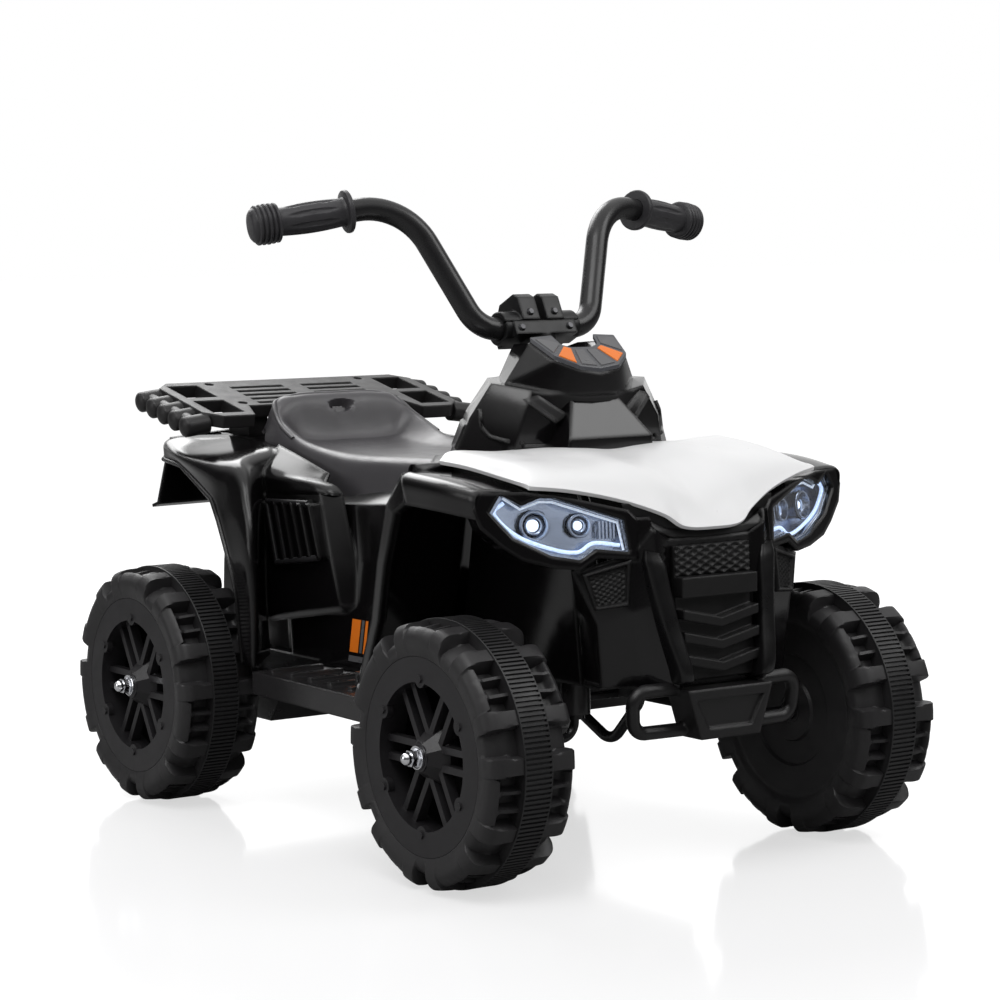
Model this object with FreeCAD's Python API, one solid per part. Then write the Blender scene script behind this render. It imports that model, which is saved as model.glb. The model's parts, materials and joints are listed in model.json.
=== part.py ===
import FreeCAD, Part
import math
import os

# A child's electric quad bike, in millimetres.
# +X is forward, +Y is the rider's left, +Z is up.
# The origin is on the ground, midway between the axles.

Vec = FreeCAD.Vector
os.makedirs("parts", exist_ok=True)

# Overall sizes
wheelbase = 508.0
wheel_set_out = 96.5
body_half_width = 200.0
body_height = 400.0
rim_height_share = 0.355
front_reach = 100.0
rear_reach = 100.0

# Walls and clearances
panel_wall = 3.0
seam_gap = 0.3
running_gap = 0.05
cut_overrun = 5.0
flat_limit = 0.000001
crease_share = 0.6

# Tyres
wheel_radius = 115.0
band_width = 28.0
band_thickness = 3.0
carcass_radius = 104.0
lug_radius = 113.5
shoulder_radius = 100.0
shoulder_half_width = 35.0
sidewall_radius = 92.0
sidewall_half_width = 41.0
bead_radius = 85.0
bead_half_width = 40.0
tyre_wall = 3.0
inner_disc_y = 36.0
lug_pair_count = 7
lug_length = 17.0
rib_length = 4.5
rib_height = 5.0
lug_spread_angle = 15.5
rib_spread_angle = 4.2

# Rims and hubs
rim_ring_inner = 63.0
rim_ring_depth = 6.0
rim_barrel_depth = 26.0
rim_barrel_wall = 3.0
rim_bolt_circle = 66.0
rim_bolt_count = 6
rim_bolt_size = 7.5
rim_bolt_height = 1.6
bolt_boss_radius = 7.5
spoke_pair_count = 6
spoke_width = 6.0
spoke_depth = 9.0
spoke_spread = 8.0
spoke_face_drop = 9.0
hub_radius = 25.0
hub_face_drop = 15.0
hub_tip_y = 42.0
hub_facets = 8
sleeve_radius = 12.5
bush_radius = 9.0

# Axles, nuts and washers
axle_radius = 4.0
washer_radius = 10.0
washer_thickness = 2.0
nut_flats = 13.0
hexagon_sides = 6
nut_height = 7.0
nut_neck = 2.0
nut_dome_radius = 5.6
shoulder_collar_radius = 9.0
collar_thickness = 2.0
rear_boss_radius = 12.0
rear_boss_length = 16.0
spacer_radius = 8.0

# Chassis and footboards
chassis_half_width = 104.0
beam_half_width = 88.0
chassis_floor_z = 104.0
chassis_rim_z = 142.0
chassis_tail = 64.0
chassis_chamfer = 8.0
trough_low_z = 70.0
trough_front = 58.0
trough_back = 46.0
trough_slant = 24.0
beam_floor_z = 163.0
beam_rim_z = 188.0
beam_nose = 54.0
beam_chamfer = 8.0
ramp_run = 36.0
ramp_foot = 166.0
footboard_top_z = 138.0
footboard_depth = 22.0
footboard_front_gap = 168.0
footboard_rear_gap = 130.0
footboard_front_width = 84.0
footboard_rear_width = 77.0
ridge_count = 6
ridge_width = 7.0
ridge_height = 3.0
ridge_margin = 10.0

# Steering
steering_lean = 26.0
bar_setback = 166.0
bar_over_body = 64.0
bar_radius = 10.5
bar_low_half = 62.0
bar_top_half = 112.0
bar_rise = 115.0
bar_lean_back = 46.0
grip_sweep = 35.0
grip_drop = 20.0
bar_half_width = 249.0
bar_low_bend = 30.0
bar_top_bend = 60.0
column_radius = 5.0
column_top_gap = 4.0
column_knee_z = 140.0
crank_back = 52.0
crank_z = 95.0
hook_foot_z = 119.0
hook_bend = 8.0
crank_knee_bend = 14.0
crank_bend = 22.0
hook_height = 6.0
lower_bearing_z = 176.0
lower_bearing_radius = 13.0
lower_bearing_length = 34.0
upper_bearing_radius = 13.0
upper_bearing_length = 22.0
column_bush_wall = 4.0
column_bush_length = 14.0

# Kingpins and tie rod
kingpin_y = 80.0
kingpin_boss_radius = 14.0
kingpin_boss_low = 136.0
kingpin_boss_high = 188.0
kingpin_bend = 14.0
kingpin_collar_radius = 8.0
kingpin_collar = 3.0
arm_length = 104.0
arm_width = 18.0
arm_thickness = 4.0
arm_pin_radius = 3.5
arm_pin_collar_radius = 6.0
tie_rod_width = 16.0
tie_rod_thickness = 5.0
tie_pin_clearance = 0.6
tie_hook_clearance = 1.6

# Handlebar clamp
clamp_half_width = 34.0
clamp_depth = 34.0
clamp_below = 13.0
cap_width = 19.0
cap_gap = 8.0
cap_depth = 36.0
cap_height = 29.0
cap_chamfer = 6.0
cap_split = 1.0
sleeve_wall = 5.0
sleeve_length = 7.0
stem_top_radius = 17.0
stem_foot_radius = 12.0
stem_length = 22.0
clamp_screw_radius = 3.6
clamp_screw_head = 2.5

# Grips
grip_length = 91.0
grip_end_gap = 3.0
grip_inner_radius = 12.0
grip_outer_radius = 14.0
grip_flange_radius = 19.5
grip_flange = 5.0
knob_length = 23.0
knob_radius = 18.5
knob_groove = 2.0
knob_ring_count = 5

# Hood, cowl, dash and deck
hood_wall = 4.0
hood_lip = 6.0
deck_share = 0.875
deck_wall = 6.0
roll_radius = 6.0
dash_thickness = 4.0

# Headlights
lens_length = 120.0
lens_height_share = 0.1
lens_thickness = 3.0
lens_inset = 1.0
lens_corner_x = 73.0
lens_corner_shares = (0.3975, 0.7375)
lens_yaw = 21.5
lens_tilt = 6.0
bezel_front = 4.0
bezel_depth = 26.0
reflector_wall = 2.0
reflector_depth = 16.0
lamp_radius = 11.0
lamp_depth = 9.0
small_lamp_radius = 8.5

# Grille, tusks, mesh and bumper
louvre_count = 4
louvre_half_share = 0.205
louvre_height = 8.0
louvre_pitch = 19.0
louvre_depth = 12.0
louvre_point = 9.0
louvre_low_share = 0.445
louvre_lean_share = 0.07
louvre_top_share = 0.6
nose_keep_out = 30.0
crosspiece_low_share = 0.6075
crosspiece_height = 17.0
crosspiece_depth = 12.0
grille_face = 90.0
mesh_thickness = 3.0
tusk_depth = 26.0
bumper_front = 116.0
bumper_loop_radius = 6.0
bumper_loop_bend = 13.0
bumper_top_z = 166.0
bumper_low_z = 130.0
bumper_outer_y = 89.0
bumper_loop_x = 97.0
skid_half_width = 46.0
skid_top_z = 166.0
skid_low_z = 123.0
skid_thickness = 9.0
skid_relief = 3.0
skid_taper = 14.0
bumper_arm_y = 30.0
bumper_arm_start = 10.0
bumper_arm_width = 18.0
bumper_arm_height = 14.0

# Seat and rack
seat_notch_width = 26.0
seat_notch_height = 12.0
seat_notch_depth = 10.0
rack_thickness = 13.0
rack_slope = 13.0
rack_rear = 113.0
rack_length = 122.0
rack_rise = 1.0
rack_half_width = 151.0
rack_panel_half_width = 100.0
rack_chamfer = 16.0
rack_bar = 11.0
rack_slot_count = 5
rack_slot_width = 7.0
rack_slot_length = 62.0
rack_slot_margin = 22.0
knob_count = 5
rack_knob_radius = 10.3
rack_knob_pitch = 23.0
rack_knob_sink = 1.0
rack_knob_drop = 3.0
rack_knob_reach = 18.0
rack_foot_width = 22.0
rack_foot_length = 40.0
rack_foot_y = 74.0
rack_foot_back = 63.0
rack_panel_length = 90.0
rack_knob_margin = 4.0
rack_screw_margin = 10.0

# Drive
gear_module = 1.25
gear_root_share = 1.2
gear_tip_share = 0.8
pinion_teeth = 12
idler_teeth = 40
idler_pinion_teeth = 12
drive_teeth = 44
gear_width = 9.0
gear_gap = 2.0
gear_backlash = 0.5
gear_pressure_angle = 25.0
idler_angle = 60.0
motor_angle = 45.0
gear_sleeve_radius = 12.0
dog_radius = 22.0
dog_thickness = 5.0
idler_pin_radius = 3.0
case_wall = 2.5
case_gap = 3.0
case_length = 42.0
case_split_share = 0.6
motor_radius = 14.0
motor_length = 46.0
motor_shaft_radius = 1.5
battery_length = 100.0
battery_width = 70.0
battery_height = 52.0
battery_x = -70.0
terminal_radius = 4.0
terminal_height = 6.0

# Pedal, switches and socket
pedal_length = 34.0
pedal_width = 40.0
pedal_thickness = 6.0
pedal_rise = 14.0
pedal_pin_radius = 3.0
pedal_barrel_radius = 6.0
pedal_pin_z = 10.0
pedal_lug_width = 5.0
pedal_setback = 218.0
pedal_inset = 33.0
pedal_wall_share = 0.55
pedal_wall_gap = 27.0
tread_bar_count = 3
tread_bar_height = 1.5
tread_bar_width = 5.0
switch_panel_width = 84.0
switch_panel_height = 34.0
switch_panel_depth = 16.0
switch_share = 0.75
switch_flange = 2.5
switch_flange_margin = 3.0
rocker_radius = 10.0
rocker_width = 20.0
rocker_offset = 20.0
rocker_gap = 0.4
rocker_proud = 2.0
rocker_pin_radius = 1.5
rocker_pin_length = 3.0
rocker_shares = ((0.24, 0), (0.36, 0.88), (-0.4, 0.86), (-0.6, 0), (-0.4, -0.86), (0.36, -0.88))
socket_radius = 8.0
socket_flange_radius = 11.0
socket_flange = 3.0
socket_depth = 16.0
socket_bore = 2.8
socket_bore_depth = 11.0
socket_ahead = 246.0
socket_height_share = 0.65
socket_wall_share = 0.5325

# Screws
screw_head_radius = 4.5
screw_head_height = 2.5
screw_recess = 4.0

# Places worked out from the sizes
front_axle_x = wheelbase / 2
rear_axle_x = -wheelbase / 2
axle_z = wheel_radius
wheel_y = chassis_half_width + wheel_set_out
tie_x = front_axle_x - arm_length
arm_top_z = kingpin_boss_low - seam_gap
arm_low_z = arm_top_z - arm_thickness
tie_top_z = arm_low_z - seam_gap
tie_low_z = tie_top_z - tie_rod_thickness
lean = math.radians(steering_lean)
column_up = Vec(-math.sin(lean), 0, math.cos(lean))
nut_seat_y = hub_tip_y + seam_gap + washer_thickness
axle_tip_y = nut_seat_y + nut_height + nut_neck


def height_at(share):
    """Height of a share of the body: its part above the chassis rim follows the body's height."""
    rise = (body_height - chassis_rim_z) / (1 - rim_height_share)
    return chassis_rim_z + (share - rim_height_share) * rise


bar_x = front_axle_x - bar_setback
bar_z = body_height + bar_over_body
bar_seat = Vec(bar_x, 0, bar_z)
deck_z = height_at(deck_share)
lens_height = height_at(lens_height_share) - height_at(0)
louvre_half_width = louvre_half_share * body_half_width
louvre_low_z = height_at(louvre_low_share)
louvre_top_z = height_at(louvre_top_share)
crosspiece_low_z = height_at(crosspiece_low_share)
rack_rear_z = body_height + rack_rise
pedal_x = front_axle_x - pedal_setback
pedal_y = max(chassis_half_width + pedal_inset, pedal_wall_share * body_half_width + pedal_wall_gap)
socket_x = rear_axle_x + socket_ahead
socket_z = height_at(socket_height_share)
socket_face_y = socket_wall_share * body_half_width


def front(share_x, share_y, share_z):
    """Point of the front outlines: shares of the reach from the front axle, half width and height."""
    return Vec(front_axle_x + share_x * front_reach, share_y * body_half_width, height_at(share_z))


def rear(share_x, share_y, share_z):
    """Point of the rear outlines, counted from the rear axle."""
    return Vec(rear_axle_x + share_x * rear_reach, share_y * body_half_width, height_at(share_z))


def flip(point):
    """The same point on the other side of the bike."""
    return Vec(point.x, -point.y, point.z)


def mirrored(shape):
    """The same shape on the other side of the bike."""
    return shape.mirror(Vec(0, 0, 0), Vec(0, 1, 0))


def joined(shapes):
    """One solid from overlapping shapes."""
    return shapes[0].multiFuse(shapes[1:]).removeSplitter()


def largest(shape):
    """Biggest solid of a shape that trimming has split."""
    return max(shape.Solids, key=lambda solid: solid.Volume)


def box(low, high):
    """Block between two corners."""
    size = high - low
    return Part.makeBox(size.x, size.y, size.z, low)


def rod(start, end, radius):
    """Round bar between two points."""
    run = end - start
    return Part.makeCylinder(radius, run.Length, start, run)


def pipe(start, end, radius, bore):
    """Round bar with a hole along it."""
    run = (end - start).normalize() * cut_overrun
    return rod(start, end, radius).cut(rod(start - run, end + run, bore))


def prism(points, reach):
    """Flat outline drawn out along a direction."""
    outline = Part.makePolygon(list(points) + [points[0]])
    return Part.Face(outline).extrude(reach)


def turned(profile):
    """Outline of (distance along Y, radius) pairs turned about the Y axis."""
    points = [Vec(0, along, radius) for along, radius in profile]
    outline = Part.makePolygon(points + [points[0]])
    return Part.Face(outline).revolve(Vec(0, 0, 0), Vec(0, 1, 0), 360)


def bent_rod(points, bends, radius):
    """Round bar along straight runs joined by tangent arcs, one bend radius for each inner point."""
    edges = []
    start = points[0]
    for index, bend in enumerate(bends):
        corner = points[index + 1]
        back = (points[index] - corner).normalize()
        ahead = (points[index + 2] - corner).normalize()
        half_turn = (math.pi - back.getAngle(ahead)) / 2
        reach = bend * math.tan(half_turn)
        enter = corner + back * reach
        leave = corner + ahead * reach
        inward = (back + ahead).normalize()
        middle = corner + inward * (bend / math.cos(half_turn) - bend)
        edges.append(Part.LineSegment(start, enter).toShape())
        edges.append(Part.Arc(enter, middle, leave).toShape())
        start = leave
    edges.append(Part.LineSegment(start, points[-1]).toShape())
    section = Part.Wire([Part.makeCircle(radius, points[0], points[1] - points[0])])
    return Part.Wire(edges).makePipeShell([section], True, False)


def facets(a, b, c, d):
    """One flat quad, or two triangles on the shorter diagonal where the points are not in one plane."""
    normal = (b - a).cross(c - a)
    if abs(normal.normalize().dot(d - a)) < flat_limit:
        return [[a, b, c, d]]
    if (a - c).Length < (b - d).Length:
        return [[a, b, c], [a, c, d]]
    return [[a, b, d], [b, c, d]]


def between(top, bottom):
    """Closed solid between two grids of points that have the same rows and columns."""
    polygons = []
    last_row = len(top) - 1
    last_column = len(top[0]) - 1
    for row in range(last_row):
        for column in range(last_column):
            corners = ((row, column), (row + 1, column), (row + 1, column + 1), (row, column + 1))
            polygons += facets(*[top[r][c] for r, c in corners])
            polygons += facets(*[bottom[r][c] for r, c in reversed(corners)])
    border = [(0, c) for c in range(last_column)]
    border += [(r, last_column) for r in range(last_row)]
    border += [(last_row, c) for c in range(last_column, 0, -1)]
    border += [(r, 0) for r in range(last_row, 0, -1)]
    for (r, c), (next_r, next_c) in zip(border, border[1:] + border[:1]):
        polygons += facets(top[r][c], top[next_r][next_c], bottom[next_r][next_c], bottom[r][c])
    faces = [Part.Face(Part.makePolygon(points + [points[0]])) for points in polygons]
    solid = Part.Solid(Part.Shell(faces))
    if solid.Volume < 0:
        solid.reverse()
    return solid


def grid_normals(grid):
    """Unit normal at each grid point, with the stretch that keeps the wall full at a crease."""
    rows, columns = len(grid), len(grid[0])
    gathered = [[[] for _ in range(columns)] for _ in range(rows)]
    for row in range(rows - 1):
        for column in range(columns - 1):
            first = grid[row + 1][column + 1] - grid[row][column]
            second = grid[row][column + 1] - grid[row + 1][column]
            normal = first.cross(second).normalize()
            for r, c in ((row, column), (row + 1, column), (row + 1, column + 1), (row, column + 1)):
                gathered[r][c].append(normal)
    normals = []
    for row in gathered:
        line = []
        for parts in row:
            total = Vec(0, 0, 0)
            for part in parts:
                total += part
            mean = total.normalize()
            least = min(mean.dot(part) for part in parts)
            line.append(mean * (1 / max(least, crease_share)))
        normals.append(line)
    return normals


def sheet(grid, wall, outside):
    """Moulded panel: a grid of outer points, thickened away from the outside direction."""
    normals = grid_normals(grid)
    facing = sum(normal.dot(outside) for line in normals for normal in line)
    inward = -wall if facing > 0 else wall
    inner = []
    for points, line in zip(grid, normals):
        inner.append([point + normal * inward for point, normal in zip(points, line)])
    return between(grid, inner)


def both_ways(half):
    """Full row of points from a half row that starts on the middle plane."""
    return [flip(point) for point in reversed(half[1:])] + half


def gear(teeth, width, bore):
    """Spur gear about the Y axis, with involute flanks thinned by the backlash."""
    pitch_radius = gear_module * teeth / 2
    pressure = math.radians(gear_pressure_angle)
    base_radius = pitch_radius * math.cos(pressure)
    root_radius = pitch_radius - gear_root_share * gear_module
    tip_radius = pitch_radius + gear_tip_share * gear_module
    flank = [max(base_radius, root_radius), pitch_radius, (pitch_radius + tip_radius) / 2, tip_radius]
    half_tooth = math.pi / (2 * teeth) - gear_backlash / (2 * pitch_radius)
    lead = math.tan(pressure) - pressure
    side = [(root_radius, half_tooth + lead)]
    for radius in flank:
        angle = math.acos(min(1, base_radius / radius))
        side.append((radius, half_tooth + lead - (math.tan(angle) - angle)))
    if side[1][0] - side[0][0] < running_gap:
        side = side[1:]
    points = []
    for tooth in range(teeth):
        middle = 2 * math.pi * tooth / teeth
        for radius, angle in [(r, -a) for r, a in side] + list(reversed(side)):
            turn = middle + angle
            points.append(Vec(radius * math.cos(turn), 0, radius * math.sin(turn)))
    blank = prism(points, Vec(0, width, 0))
    hole = rod(Vec(0, -cut_overrun, 0), Vec(0, width + cut_overrun, 0), bore)
    return blank.cut(hole)


def moved(shape, place):
    """Copy of a shape shifted by a vector."""
    copy = shape.copy()
    copy.translate(place)
    return copy


def turned_copy(shape, angle):
    """Copy of a shape turned about the Y axis."""
    copy = shape.copy()
    copy.rotate(Vec(0, 0, 0), Vec(0, 1, 0), angle)
    return copy


def on_column(shape, along):
    """Shape drawn about the origin with +Z along the steering column, set at the handlebar seat."""
    copy = shape.copy()
    copy.rotate(Vec(0, 0, 0), Vec(0, 1, 0), -steering_lean)
    copy.translate(bar_seat + column_up * along)
    return copy


def save(node, shapes):
    """Write one sub-part, a single solid or a group of solids."""
    group = shapes if isinstance(shapes, list) else [shapes]
    solids = [solid for shape in group for solid in shape.Solids]
    result = solids[0] if len(solids) == 1 else Part.makeCompound(solids)
    result.exportStep("parts/" + node + ".step")


# Wheels

def tyre_lug(length, low, high):
    """One shoulder block, from the traction band to the sidewall."""
    band_edge = band_width / 2
    outline = [
        Vec(0, band_edge, low),
        Vec(0, band_edge, high),
        Vec(0, shoulder_half_width, high - tyre_wall),
        Vec(0, sidewall_half_width + tyre_wall / 2, sidewall_radius + tyre_wall),
        Vec(0, sidewall_half_width - tyre_wall / 2, sidewall_radius - tyre_wall / 2),
        Vec(0, shoulder_half_width - tyre_wall, shoulder_radius - tyre_wall / 2),
    ]
    return moved(prism(outline, Vec(length, 0, 0)), Vec(-length / 2, 0, 0))


def tyre():
    """Hollow blow moulded tyre with shoulder lugs, closed on its inner side."""
    band_seat = wheel_radius - band_thickness
    half_band = band_width / 2
    outer = [
        (-inner_disc_y, sleeve_radius + seam_gap),
        (-inner_disc_y, bead_radius - tyre_wall),
        (-bead_half_width, bead_radius),
        (-sidewall_half_width, sidewall_radius),
        (-shoulder_half_width, shoulder_radius),
        (-half_band, carcass_radius),
        (-half_band, band_seat),
        (half_band, band_seat),
        (half_band, carcass_radius),
        (shoulder_half_width, shoulder_radius),
        (sidewall_half_width, sidewall_radius),
        (bead_half_width, bead_radius),
    ]
    inner = [
        (bead_half_width - rim_ring_depth, bead_radius),
        (sidewall_half_width - 2 * tyre_wall, sidewall_radius),
        (shoulder_half_width - tyre_wall, shoulder_radius - tyre_wall),
        (half_band, carcass_radius - tyre_wall),
        (-half_band, carcass_radius - tyre_wall),
        (-shoulder_half_width + tyre_wall, shoulder_radius - tyre_wall),
        (-inner_disc_y + tyre_wall, bead_radius - 2 * tyre_wall),
        (-inner_disc_y + tyre_wall, sleeve_radius + seam_gap),
    ]
    blocks = []
    low = carcass_radius - tyre_wall / 2
    for pair in range(lug_pair_count):
        middle = 360 * pair / lug_pair_count
        for sign in (-1, 1):
            lug = tyre_lug(lug_length, low, lug_radius)
            rib = tyre_lug(rib_length, low, carcass_radius + rib_height)
            blocks.append(turned_copy(lug, middle + sign * lug_spread_angle))
            blocks.append(turned_copy(rib, middle + sign * rib_spread_angle))
    blocks += [mirrored(block) for block in blocks]
    return joined([turned(outer + inner)] + blocks)


def tread_band():
    """Ribbed traction strip, seated in the middle of the tyre."""
    half = Vec(0, band_width / 2, 0)
    return pipe(-half, half, wheel_radius, wheel_radius - band_thickness)


def rim_spoke(offset):
    """One bar of a spoke pair, pointing along +Z."""
    top_y = bead_half_width - spoke_face_drop
    low = Vec(offset - spoke_width / 2, top_y - spoke_depth, sleeve_radius)
    high = Vec(offset + spoke_width / 2, top_y, rim_ring_inner + rim_barrel_wall / 2)
    return box(low, high)


def rim_bolt():
    """Moulded bolt head on its round boss."""
    face = Vec(0, bead_half_width, rim_bolt_circle)
    boss = rod(face - Vec(0, rim_ring_depth, 0), face, bolt_boss_radius)
    corners = []
    for corner in range(hexagon_sides):
        angle = 2 * math.pi * corner / hexagon_sides
        spread = Vec(math.cos(angle), 0, math.sin(angle)) * (rim_bolt_size / 2)
        corners.append(face + spread)
    head = prism(corners, Vec(0, rim_bolt_height, 0))
    return boss.fuse(head)


def rim_hub():
    """Faceted cone that carries the wheel bush."""
    foot_y = bead_half_width - hub_face_drop - spoke_depth
    shoulder_y = bead_half_width - hub_face_drop
    rings = []
    for along, radius in ((foot_y, hub_radius), (shoulder_y, hub_radius), (hub_tip_y, sleeve_radius)):
        ring = []
        for facet in range(hub_facets):
            angle = math.pi * (2 * facet + 1) / hub_facets
            ring.append(Vec(radius * math.cos(angle), along, radius * math.sin(angle)))
        rings.append(Part.makePolygon(ring + [ring[0]]))
    return Part.makeLoft(rings, True, True)


def rim():
    """Spoked disc that closes the outer side of the tyre."""
    ring_outer = bead_radius - seam_gap
    face = Vec(0, bead_half_width, 0)
    ring_back = face - Vec(0, rim_ring_depth, 0)
    barrel_back = face - Vec(0, rim_barrel_depth, 0)
    pieces = [
        pipe(ring_back, face, ring_outer, rim_ring_inner),
        pipe(barrel_back, face, rim_ring_inner + rim_barrel_wall, rim_ring_inner),
        rim_hub(),
        rod(Vec(0, -inner_disc_y, 0), Vec(0, hub_tip_y, 0), sleeve_radius),
    ]
    for pair in range(spoke_pair_count):
        angle = 180 * (2 * pair + 1) / spoke_pair_count
        pieces += [turned_copy(rim_spoke(sign * spoke_spread), angle) for sign in (-1, 1)]
    for bolt in range(rim_bolt_count):
        pieces.append(turned_copy(rim_bolt(), 360 * bolt / rim_bolt_count))
    end = Vec(0, hub_tip_y + cut_overrun, 0)
    return joined(pieces).cut(rod(-end, end, bush_radius + running_gap))


def wheel_bush():
    """Plain sleeve between the rim and the axle."""
    low = Vec(0, -inner_disc_y, 0)
    return pipe(low, Vec(0, hub_tip_y, 0), bush_radius, axle_radius + running_gap)


def placed_on_wheel(shape, axle_x, side):
    """Wheel piece, drawn with its outer side to +Y, set on one end of an axle."""
    turned_shape = shape if side > 0 else mirrored(shape)
    return moved(turned_shape, Vec(axle_x, side * wheel_y, axle_z))


def acorn_nut():
    """Domed nut and its washer, on the axle end."""
    washer_low = Vec(0, hub_tip_y + seam_gap, 0)
    seat = Vec(0, nut_seat_y, 0)
    washer = pipe(washer_low, seat, washer_radius, axle_radius + running_gap)
    corner_radius = nut_flats / (2 * math.cos(math.pi / hexagon_sides))
    corners = []
    for corner in range(hexagon_sides):
        angle = 2 * math.pi * corner / hexagon_sides
        corners.append(seat + Vec(math.cos(angle), 0, math.sin(angle)) * corner_radius)
    crown = seat + Vec(0, nut_height + nut_neck, 0)
    body = joined([
        prism(corners, Vec(0, nut_height, 0)),
        rod(seat, crown, nut_dome_radius),
        Part.makeSphere(nut_dome_radius, crown),
    ])
    hole = rod(seat - Vec(0, cut_overrun, 0), crown + Vec(0, running_gap, 0), axle_radius + running_gap)
    return [washer, body.cut(hole)]


# Steering linkage

def knuckle():
    """Left stub axle bent up into its kingpin, with the steering arm and its pin."""
    top = Vec(front_axle_x, kingpin_y, kingpin_boss_high + seam_gap + kingpin_collar)
    corner = Vec(front_axle_x, kingpin_y, axle_z)
    tip = Vec(front_axle_x, wheel_y + axle_tip_y, axle_z)
    axle = bent_rod([top, corner, tip], [kingpin_bend], axle_radius)
    collar_low = top - Vec(0, 0, kingpin_collar)
    shoulder_y = wheel_y - inner_disc_y - seam_gap
    shoulder = Vec(front_axle_x, shoulder_y, axle_z)
    arm_end = Vec(tie_x, kingpin_y, arm_low_z)
    arm_root = Vec(front_axle_x, kingpin_y, arm_low_z)
    half_arm = Vec(0, arm_width / 2, 0)
    plate_up = Vec(0, 0, arm_thickness)
    pin_low = arm_end - Vec(0, 0, tie_rod_thickness + 2 * seam_gap + collar_thickness)
    arm = joined([
        box(arm_end - half_arm, arm_root + half_arm + plate_up),
        rod(arm_end, arm_end + plate_up, arm_width / 2),
        rod(arm_root, arm_root + plate_up, arm_width / 2),
    ])
    return joined([
        axle,
        rod(collar_low, top, kingpin_collar_radius),
        rod(shoulder - Vec(0, collar_thickness, 0), shoulder, shoulder_collar_radius),
        arm,
        rod(pin_low, arm_end, arm_pin_radius),
        rod(pin_low, pin_low + Vec(0, 0, collar_thickness), arm_pin_collar_radius),
    ])


def tie_rod():
    """Flat bar that joins both steering arms, with a hole for the column's crank."""
    up = Vec(0, 0, tie_rod_thickness)
    left = Vec(tie_x, kingpin_y, tie_low_z)
    half_width = Vec(tie_rod_width / 2, 0, 0)
    middle = Vec(tie_x, 0, tie_low_z)
    bar = joined([
        box(flip(left) - half_width, left + half_width + up),
        rod(left, left + up, tie_rod_width / 2),
        rod(flip(left), flip(left) + up, tie_rod_width / 2),
        rod(middle, middle + up, tie_rod_width / 2 + tie_hook_clearance),
    ])
    through = Vec(0, 0, cut_overrun)
    tight = arm_pin_radius + running_gap
    loose = arm_pin_radius + tie_pin_clearance
    holes = [(flip(left), tight), (left, loose), (middle, column_radius + tie_hook_clearance)]
    for place, radius in holes:
        bar = bar.cut(rod(place - through, place + up + through, radius))
    return bar


def column_point(height):
    """Point of the steering axis at a height."""
    along = (height - bar_z) / column_up.z
    return bar_seat + column_up * along


def steering_column():
    """Round steel column that ends in a U shaped crank hooked up through the tie rod."""
    top = bar_seat - column_up * (bar_radius + column_top_gap)
    knee = column_point(column_knee_z)
    low = Vec(front_axle_x - crank_back, 0, crank_z)
    foot = Vec(tie_x, 0, hook_foot_z)
    hook = Vec(tie_x, 0, tie_top_z + hook_height)
    bends = [crank_knee_bend, crank_bend, hook_bend]
    return bent_rod([top, knee, low, foot, hook], bends, column_radius)


def column_bush(centre):
    """Flangeless bush round the column."""
    half = column_up * (column_bush_length / 2)
    outer = column_radius + column_bush_wall
    return pipe(centre - half, centre + half, outer, column_radius + running_gap)


def column_bushes():
    """Lower bush in the chassis and upper bush in the deck."""
    return [column_bush(column_point(lower_bearing_z)), column_bush(column_point(deck_z))]


# Handlebar

def bar_points():
    """Corner points of the left half of the handlebar, from its middle outwards."""
    low = Vec(bar_x, bar_low_half, bar_z)
    high = Vec(bar_x - bar_lean_back, bar_top_half, bar_z + bar_rise)
    tip = Vec(high.x - grip_sweep, bar_half_width, high.z - grip_drop)
    return [low, high, tip]


def handlebar():
    """One bent tube from grip to grip."""
    half = bar_points()
    route = [flip(point) for point in reversed(half)] + half
    return bent_rod(route, [bar_top_bend, bar_low_bend, bar_low_bend, bar_top_bend], bar_radius)


def grip():
    """Left grip with its hand guard flange and ringed end knob."""
    low, high, tip = bar_points()
    run = (tip - high).normalize()
    inner = grip_length - knob_length
    bore = bar_radius + running_gap
    pitch = knob_length / knob_ring_count
    profile = [(0, bore), (0, grip_flange_radius), (grip_flange, grip_flange_radius)]
    profile += [(grip_flange, grip_inner_radius), (inner, grip_outer_radius)]
    for ring in range(knob_ring_count):
        start = inner + ring * pitch
        profile.append((start, knob_radius - knob_groove))
        profile.append((start + pitch / 4, knob_radius))
        profile.append((start + 3 * pitch / 4, knob_radius))
    end = grip_length + grip_end_gap
    profile += [(end, knob_radius - 2 * knob_groove), (end, 0)]
    profile += [(grip_length, 0), (grip_length, bore)]
    shape = turned(profile)
    turn = FreeCAD.Rotation(Vec(0, 1, 0), run)
    shape.Placement = FreeCAD.Placement(tip - run * (grip_length - running_gap), turn)
    return shape


def clamp_hole(shape):
    """Cut the handlebar's seat through a clamp piece."""
    reach = clamp_half_width + sleeve_length + cut_overrun
    return shape.cut(rod(Vec(0, -reach, 0), Vec(0, reach, 0), bar_radius + running_gap))


def clamp_body():
    """Lower clamp block with its stem and side sleeves."""
    half_depth = clamp_depth / 2
    block = box(Vec(-half_depth, -clamp_half_width, -clamp_below), Vec(half_depth, clamp_half_width, 0))
    stem_low = -clamp_below - stem_length
    stem = Part.makeCone(stem_foot_radius, stem_top_radius, stem_length, Vec(0, 0, stem_low))
    sleeve_reach = clamp_half_width + sleeve_length
    sleeve = rod(Vec(0, -sleeve_reach, 0), Vec(0, sleeve_reach, 0), bar_radius + sleeve_wall)
    keep = box(Vec(-half_depth, -sleeve_reach, -clamp_below), Vec(half_depth, sleeve_reach, 0))
    body = clamp_hole(joined([block, stem, sleeve.common(keep)]))
    bore_low = Vec(0, 0, stem_low - cut_overrun)
    return body.cut(rod(bore_low, Vec(0, 0, 0), column_radius + running_gap))


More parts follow.
